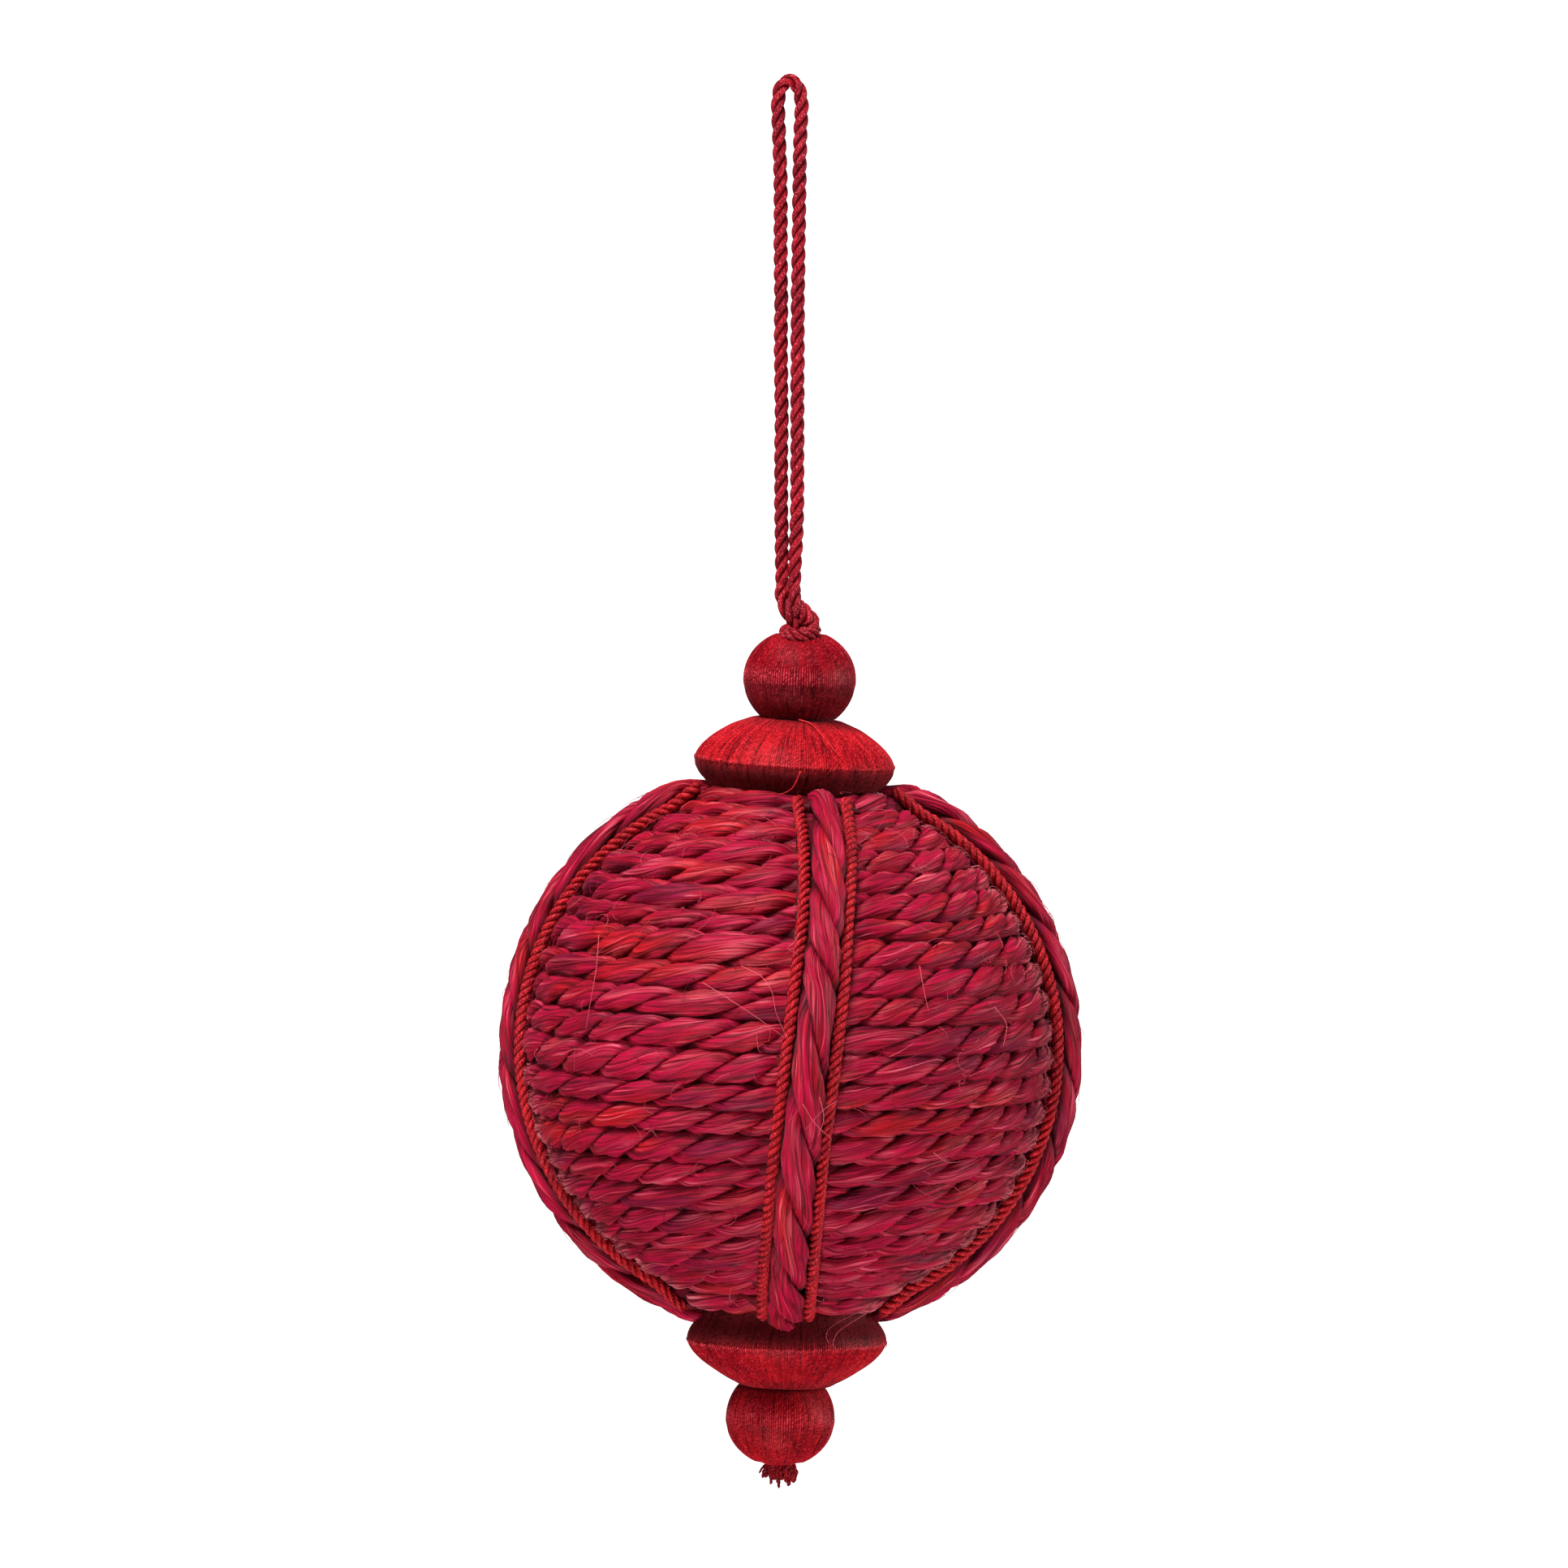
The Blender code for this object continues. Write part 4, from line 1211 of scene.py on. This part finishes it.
def bead_outline(radius, face_radius, edge, eye_lift):
    """Half a bead from the dimple at its eye, over its side, to the face on the disc."""
    first = math.asin(BEAD_EYE_RADIUS / radius)
    last = math.pi - math.asin(face_radius / radius)
    eye_height = BEAD_OUTER_REACH * math.cos(first)
    outline = [(0.0, eye_height + eye_lift), (1.5 * MM, eye_height + eye_lift),
               (2.9 * MM, eye_height + 0.7 * eye_lift), (3.9 * MM, eye_height + 0.2 * eye_lift),
               (4.5 * MM, eye_height + 0.05 * eye_lift)]
    for step in range(BEAD_STEPS + 1):
        angle = first + (last - first) * step / BEAD_STEPS
        reach = BEAD_OUTER_REACH if angle < 0.5 * math.pi else BEAD_INNER_REACH
        height = reach * math.cos(angle)
        past = (height - edge) / (0.6 * MM)
        under = past - math.copysign(2.0, edge)
        bulge = BEAD_EDGE * (math.exp(-past * past) - 1.2 * math.exp(-under * under))
        outline.append((radius * math.sin(angle) + bulge, height))
    outline.append((0.5 * outline[-1][0], outline[-1][1]))
    outline.append((0.0, outline[-1][1]))
    return outline


def disc_outline(dome, heel, ridge):
    """Half a disc from the middle of its dome, over its edge, to its seat."""
    upper = smooth_route(np.array(dome) * MM, 0.75 * MM)
    edge = np.array(((19.75, ridge + 0.15), (19.87, ridge - 0.1), (19.7, ridge - 0.35))) * MM
    lower = smooth_route(np.array(heel[:-2]) * MM, 0.8 * MM)
    seat = np.array(heel[-2:]) * MM
    return [tuple(point) for point in np.vstack((upper, edge, lower, seat))]


# %% [markdown]
# Then every second line of a turned piece is raised, so that the threads are real
# ridges. Threads that lie a little high, low or slanted keep it from looking
# machined. Three attributes go to the finish: how high a point lies on its thread,
# from which the finish paints shade into the valleys and gaps; a painted highlight,
# most at the edge, with a painted band of sheen beside the edge of a bead; and
# painted shade under the edge, where a bead meets its disc, near a disc's neck and
# in a thin line above its edge.

# %% Wrap a turned piece with thread
THREAD_WIDTH = 0.5 * MM
THREAD_RELIEF = 0.11 * MM
THREAD_WANDER = 5.0 * MM


def read_values(rows, name, width=1, kind=float):
    """One kind of value of all of a mesh's points, corners or faces."""
    values = np.zeros(len(rows) * width, dtype=kind)
    rows.foreach_get(name, values)
    return values.reshape(-1, width).squeeze()


def wrap_piece(name, outline, radius, seed, edge, toward, shade, worn, dome=False):
    """Turn a piece and wrap it. edge is a place on the outline, toward its shaded side."""
    threads = round(2.0 * math.pi * radius / THREAD_WIDTH)
    piece = turn_outline(name, outline, 2 * threads)
    mesh = piece.data
    points = read_values(mesh.vertices, "co", 3)
    normals = read_values(mesh.vertices, "normal", 3)
    line = np.array(outline)
    far = travelled(line)
    flat = np.hypot(points[:, 0], points[:, 1])
    near = np.hypot(flat[:, None] - line[None, :, 0], points[:, 2:3] - line[None, :, 1])
    nearest = near.argmin(axis=1)
    along = far[nearest]
    turn = np.arctan2(points[:, 1], points[:, 0])
    half_step = np.round(turn / (np.pi / threads)).astype(int) % (2 * threads)

    chance = np.random.default_rng(seed)
    rise = drift(chance, 2 * threads, np.linspace(0.0, far[-1], len(line)), THREAD_WANDER)
    own = chance.uniform(-1.0, 1.0, 2 * threads)
    reading = (along / far[-1] * (len(line) - 1)).astype(int)
    ridge = np.where(half_step % 2 == 0, 1.0, -1.0)
    wander = 0.5 * rise[half_step, reading] + 0.5 * own[half_step]
    parted = (half_step % 2 == 1) & (own[half_step] + 0.5 * rise[half_step, reading] > 0.85)
    gap = np.where(parted, -1.8, 0.0)
    raised = THREAD_RELIEF * (ridge + 0.7 * wander + gap) * np.clip(flat / radius, 0.0, 1.0)
    slant = 0.05 * np.sin(2.0 * turn + seed) + 0.03 * np.sin(5.0 * turn + 2.0 * seed)
    slant = slant * np.sin(np.pi * along / far[-1])
    points = points + normals * raised[:, None]
    x = points[:, 0] * np.cos(slant) - points[:, 1] * np.sin(slant)
    y = points[:, 0] * np.sin(slant) + points[:, 1] * np.cos(slant)
    mesh.vertices.foreach_set("co", np.stack((x, y, points[:, 2]), -1).ravel())

    uneven = 0.12 * own[half_step - half_step % 2] * MM + 0.35 * MM * np.cos(turn)
    past = toward * (along - far[edge] - toward * uneven * (0.3 if dome else 1.0))
    # Painted shade: darker beyond the edge on the shaded side, where a bead meets its disc, near a
    # disc's neck and in a thin line above its edge.
    rise_length, fall_length, strength = shade
    under = np.maximum(past, 0.0) / MM
    deep = strength * (1.0 - np.exp(-under / rise_length)) * np.exp(-under / fall_length)
    if not dome:
        painted_neck_shade = 0.5 * np.exp(-(far[-3] - along) / (1.6 * MM))
        painted_sheen_band = 0.42 * np.exp(-((past + 1.3 * MM) / (1.2 * MM)) ** 2)
    else:
        painted_neck_shade = np.where(past < 0.0, 0.45 - 0.45 * eased(flat, 9.0 * MM, 14.0 * MM), 0.0)
        painted_neck_shade = painted_neck_shade + 0.3 * np.exp(-((past + 0.85 * MM) / (0.3 * MM)) ** 2)
        painted_sheen_band = 0.0
    deep = np.clip(deep + painted_neck_shade, 0.0, 1.0)
    # Painted highlight along the edge, and beside a bead's edge a painted band of sheen.
    painted_edge_highlight = worn * np.exp(-(past / (0.3 * MM)) ** 2) * (0.7 + 0.3 * own[half_step]) + painted_sheen_band
    # How high a point lies on its thread, from which the finish paints shade into the valleys and
    # gaps.
    shown = np.clip(0.55 + 0.4 * ridge + 0.25 * wander + 0.3 * gap, 0.0, 1.0)

    corners = read_values(mesh.loops, "vertex_index", 1, np.int32)
    across = half_step[corners] * 0.5
    starts = read_values(mesh.polygons, "loop_start", 1, np.int32)
    first = np.repeat(across[starts], read_values(mesh.polygons, "loop_total", 1, np.int32))
    across = np.where(across - first > 0.5 * threads, across - threads, across)
    across = np.where(first - across > 0.5 * threads, across + threads, across)
    uvs = np.stack((along[corners] / THREAD_WIDTH, across), -1)
    mark(mesh, uvs, height=shown, deep=deep, worn=painted_edge_highlight)
    mesh.update()
    return piece


# %% [markdown]
# Satin thread is two fine plies twisted together, so light breaks on it in short
# grains, and no two threads alike. A noise read at each thread's own number paints
# these grains of light into the colour. A wider noise darkens groups of threads in
# lines, as painted shade where they part. The finish also paints shade into the
# valleys between threads and under the edges, and pale highlights on the ridges and
# at the edges.

# %% Mix the satin thread's finish
# Colours of the painted highlight and the painted shade on the thread.
PAINTED_THREAD_HIGHLIGHT = (0.88, 0.11, 0.15)
SHADED_THREAD = (0.100, 0.011, 0.014)


def satin_finish(name, colour, dark):
    finish = Finish(name, Roughness=0.45, Sheen_Weight=0.12, Sheen_Roughness=0.3,
                    Sheen_Tint=opaque(1.0, 0.2, 0.25), Specular_IOR_Level=0.1,
                    Specular_Tint=opaque(1.0, 0.3, 0.35))
    place = finish.strand_map()
    split = finish.node("ShaderNodeSeparateXYZ", None, {0: place}, "X")
    across = Wire(finish, split.socket.node.outputs["Y"])
    number = finish.maths("FLOOR", across + 0.5)
    own = finish.node("ShaderNodeTexWhiteNoise", {"noise_dimensions": "1D"}, {"W": number})
    slid = split * 1.35 + (across - number) * 1.2
    grain_place = finish.node("ShaderNodeCombineXYZ", None, {0: slid, 1: number * 7.31})
    grain = finish.noise(grain_place)
    tone = finish.noise(place, (0.04, 0.16, 1.0), 2.0)
    parting = finish.noise(place, (0.07, 0.6, 1.0))
    out = finish.attribute("height")
    deep = finish.attribute("deep")
    dyed = finish.mix(tone.between(0.35, 0.65), opaque(*dark), opaque(*colour))
    # Painted light and shade: grains of light, and shade in the valleys and in parted groups of
    # threads.
    shade = (out * 0.55 + 0.45) * (grain.between(0.3, 0.62) * 0.8 + 0.55)
    shade = shade * (own * 0.3 + 0.85) * (parting.between(0.3, 0.44) * 0.6 + 0.4)
    # Painted shade under the edges and at the necks.
    dyed = finish.dimmed(finish.mix(deep * 0.95, dyed, opaque(*SHADED_THREAD)), shade)
    ridge = out.between(0.4, 0.9)
    # Painted highlights: pale glints on the ridges, and along the edges.
    painted_glint = grain.between(0.54, 0.7) * (1.0 - deep) * ridge * 0.3
    worn = finish.attribute("worn") * (grain.between(0.38, 0.58) * 0.8 + 0.2) * ridge
    dyed = finish.mix(worn * 0.8 + painted_glint, dyed, opaque(*PAINTED_THREAD_HIGHLIGHT))
    finish.surface(dyed, 0.55 - grain * 0.2, grain, 0.15 * MM, 0.6)
    return finish


# One satin thread in three copies: brightest for the upper disc, darker for the lower pieces and
# darkest for the top bead, as painted light and shade.
satin_lit_upper = satin_finish("satin_thread_lit_upper_disc", (0.50, 0.009, 0.015), (0.33, 0.005, 0.010))
satin_shaded_lower = satin_finish("satin_thread_shaded_lower", (0.42, 0.006, 0.011), (0.28, 0.003, 0.009))
satin_shaded_bead = satin_finish("satin_thread_shaded_top_bead", (0.29, 0.003, 0.009), (0.19, 0.002, 0.007))
loose_satin = Finish("loose_satin_thread", Base_Color=opaque(0.55, 0.012, 0.02),
                     Roughness=0.45, Specular_IOR_Level=0.2)
print("satin finishes made")

# %% [markdown]
# Now the four pieces are turned, wrapped and put on the leaning axis. The discs sit
# a little crooked and off the middle, as the photograph shows. The lower ones are
# turned over.

# %% Turn the beads and discs
BEADS = (
    # Name, node, finish, radius, face radius, middle, edge, height of the eye's
    # middle, shade side, lengths and strength of the painted shade, and how strong the
    # painted highlight at the edge is.
    ("satin_top_bead", "top_bead", satin_shaded_bead, 11.0, 7.2, 73.34, -0.8, -1.9,
     1.0, (0.3, 16.0, 0.52), 0.3),
    ("satin_bottom_bead", "bottom_bead", satin_shaded_lower, 10.7, 8.6, -73.7, 0.7, 0.9,
     -1.0, (0.3, 2.6, 0.6), 0.25),
)
DISCS = (
    # Name, node, finish, dome, heel, ridge, place of the widest line, tilt, shift,
    # and how strong the painted highlight at the edge is.
    ("satin_top_disc", "top_disc", satin_lit_upper, TOP_DOME, TOP_HEEL, TOP_RIDGE, 56.25, 2.0, -0.6,
     0.5),
    ("satin_bottom_disc", "bottom_disc", satin_shaded_lower, BOTTOM_DOME, BOTTOM_HEEL, BOTTOM_RIDGE, -57.9,
     -0.3, 0.85, 1.0),
)
DISC_RADIUS = 19.8 * MM
DISC_SHADE = (0.7, 1000.0, 0.94)


def place_turned(piece, node, finish, height, tilt=0.0, shift=0.0):
    """Put a turned piece on the leaning axis, upside down if it belongs below."""
    flip = Matrix.Rotation(math.pi if height < 0.0 else 0.0, 4, "X")
    lift = Matrix.Translation((shift * MM, 0.0, height * MM))
    lean = Matrix.Rotation(math.radians(tilt), 4, "Y")
    piece.data.transform(BODY_PLACE @ lift @ lean @ flip)
    hand_over(piece, finish, (node,))


for name, node, finish, radius, face, middle, edge, eye_lift, toward, shade, worn in BEADS:
    outline = bead_outline(radius * MM, face * MM, edge * MM, eye_lift * MM)
    gaps = [abs(height - edge * MM) for reach, height in outline[EYE_POINTS:-2]]
    edge_place = EYE_POINTS + int(np.argmin(gaps))
    piece = wrap_piece(name, outline, radius * MM, 500 + int(middle), edge_place, toward,
                       shade, worn)
    place_turned(piece, node, finish, middle)

for name, node, finish, dome, heel, ridge, middle, tilt, shift, worn in DISCS:
    outline = disc_outline(dome, heel, ridge)
    edge = int(np.argmax([reach for reach, height in outline]))
    piece = wrap_piece(name, outline, DISC_RADIUS, 510 + int(middle), edge, 1.0,
                       DISC_SHADE, worn, True)
    place_turned(piece, node, finish, middle, tilt, shift)

# %% [markdown]
# The discs' edges are fuzzy, and a loose thread crosses the upper disc. Another
# hangs from its edge down to the rows. They are thin strands like the jute's.

# %% Add fuzz and loose threads to the discs
FUZZ_PER_DISC = 150
LOOSE_THREADS = (
    # Places in the photograph, on the upper disc, with their distance from the axis.
    ((984, 887, 8.9), (999, 892, 10.6), (1012, 906, 14.2), (1027, 924, 18.0),
     (1040, 940, 19.9)),
    ((986, 950, 20.6), (981, 962, 19.9), (975, 972, 19.5), (962, 978, 19.6),
     (945, 978, 20.4)),
)
THREAD_RADIUS = 0.2 * MM

fuzz = Bundle()
for ridge, middle, tilt, shift in [disc[5:9] for disc in DISCS]:
    chance = np.random.default_rng(800 + int(middle))
    widest = middle + math.copysign(ridge, middle)
    for k in range(FUZZ_PER_DISC):
        turn = chance.uniform(0.0, 2.0 * math.pi)
        outward = np.array((math.cos(turn), math.sin(turn), 0.0))
        start = outward * DISC_RADIUS / MM + (shift, 0.0, widest)
        start[2] -= DISC_RADIUS / MM * math.cos(turn) * math.radians(tilt)
        along = np.array((-math.sin(turn), math.cos(turn), 0.0)) * chance.normal(0.0, 0.7)
        out = outward * chance.uniform(0.05, 0.3)
        drop = np.array((0.0, 0.0, chance.normal(-0.3, 0.5)))
        t = np.linspace(0.0, 1.0, 4)[:, None]
        line = start - 0.2 * out + along * t + out * t + drop * t * t
        stray(fuzz, on_body(line * MM), HAIR_RADIUS, k, 0.95)
for number, thread in enumerate(LOOSE_THREADS):
    stray(fuzz, hanging_route(thread), THREAD_RADIUS, 5 + number, 0.95)
fuzz.make("loose_threads", loose_satin, "wrapped_thread",
          ("top_disc", "bottom_disc", "top_bead", "bottom_bead"))

# %% [markdown]
# Under the lower bead the cord ends in a short frayed tuft. Thin plies splay out,
# longest in the middle, with a round lump at the right where some are stuck
# together.

# %% Fray the cord's end
TUFT_TOP = -272.2
TUFT_TIP = -277.2
TUFT_MIDDLE = -1.7
TUFT_PLIES = 44
TUFT_SPIKES = (
    # Tips across and up in the frame, in millimetres, and how thick each ply is.
    ((-6.0, -0.8, -274.8), 0.5), ((-5.3, -1.4, -275.7), 0.6), ((-3.7, -1.8, -276.9), 0.7),
    ((-2.1, -1.6, -277.7), 0.7), ((-0.2, -1.5, -277.3), 1.0), ((0.9, -1.6, -276.6), 1.6),
    ((1.2, -0.6, -275.6), 1.9), ((0.9, 0.9, -276.4), 1.6), ((0.2, -2.4, -275.4), 1.5),
    ((-1.6, 0.2, -276.2), 4.8), ((-3.3, -0.3, -275.4), 2.9), ((0.2, 0.0, -276.0), 3.0),
)

chance = np.random.default_rng(620)
plies = list(TUFT_SPIKES)
for k in range(TUFT_PLIES):
    turn = 2.0 * math.pi * (k + chance.uniform()) / TUFT_PLIES
    spread = 3.3 * math.sqrt(chance.uniform(0.1, 1.0))
    tip = (TUFT_MIDDLE + spread * math.cos(turn), spread * math.sin(turn),
           TUFT_TIP + 0.55 * spread + chance.normal(0.0, 0.35))
    plies.append((tip, chance.uniform(0.6, 1.1)))
tuft = Bundle()
for number, (tip, thickness) in enumerate(plies):
    foot = (TUFT_MIDDLE + 0.45 * (tip[0] - TUFT_MIDDLE), 0.45 * tip[1], TUFT_TOP)
    knee = (TUFT_MIDDLE + 0.8 * (tip[0] - TUFT_MIDDLE) + chance.normal(0.0, 0.2),
            0.8 * tip[1], 0.5 * (TUFT_TOP + tip[2]))
    strands = 3 if thickness < 2.0 else 5
    wind_cord(tuft, (foot, knee, tip), 630 + number, thickness * MM, (2.2 + thickness) * MM,
              strands, PLY_SIDES, 8)
tuft.make("frayed_cord_end", dark_cord, "hanging_cord", ("frayed_end",))
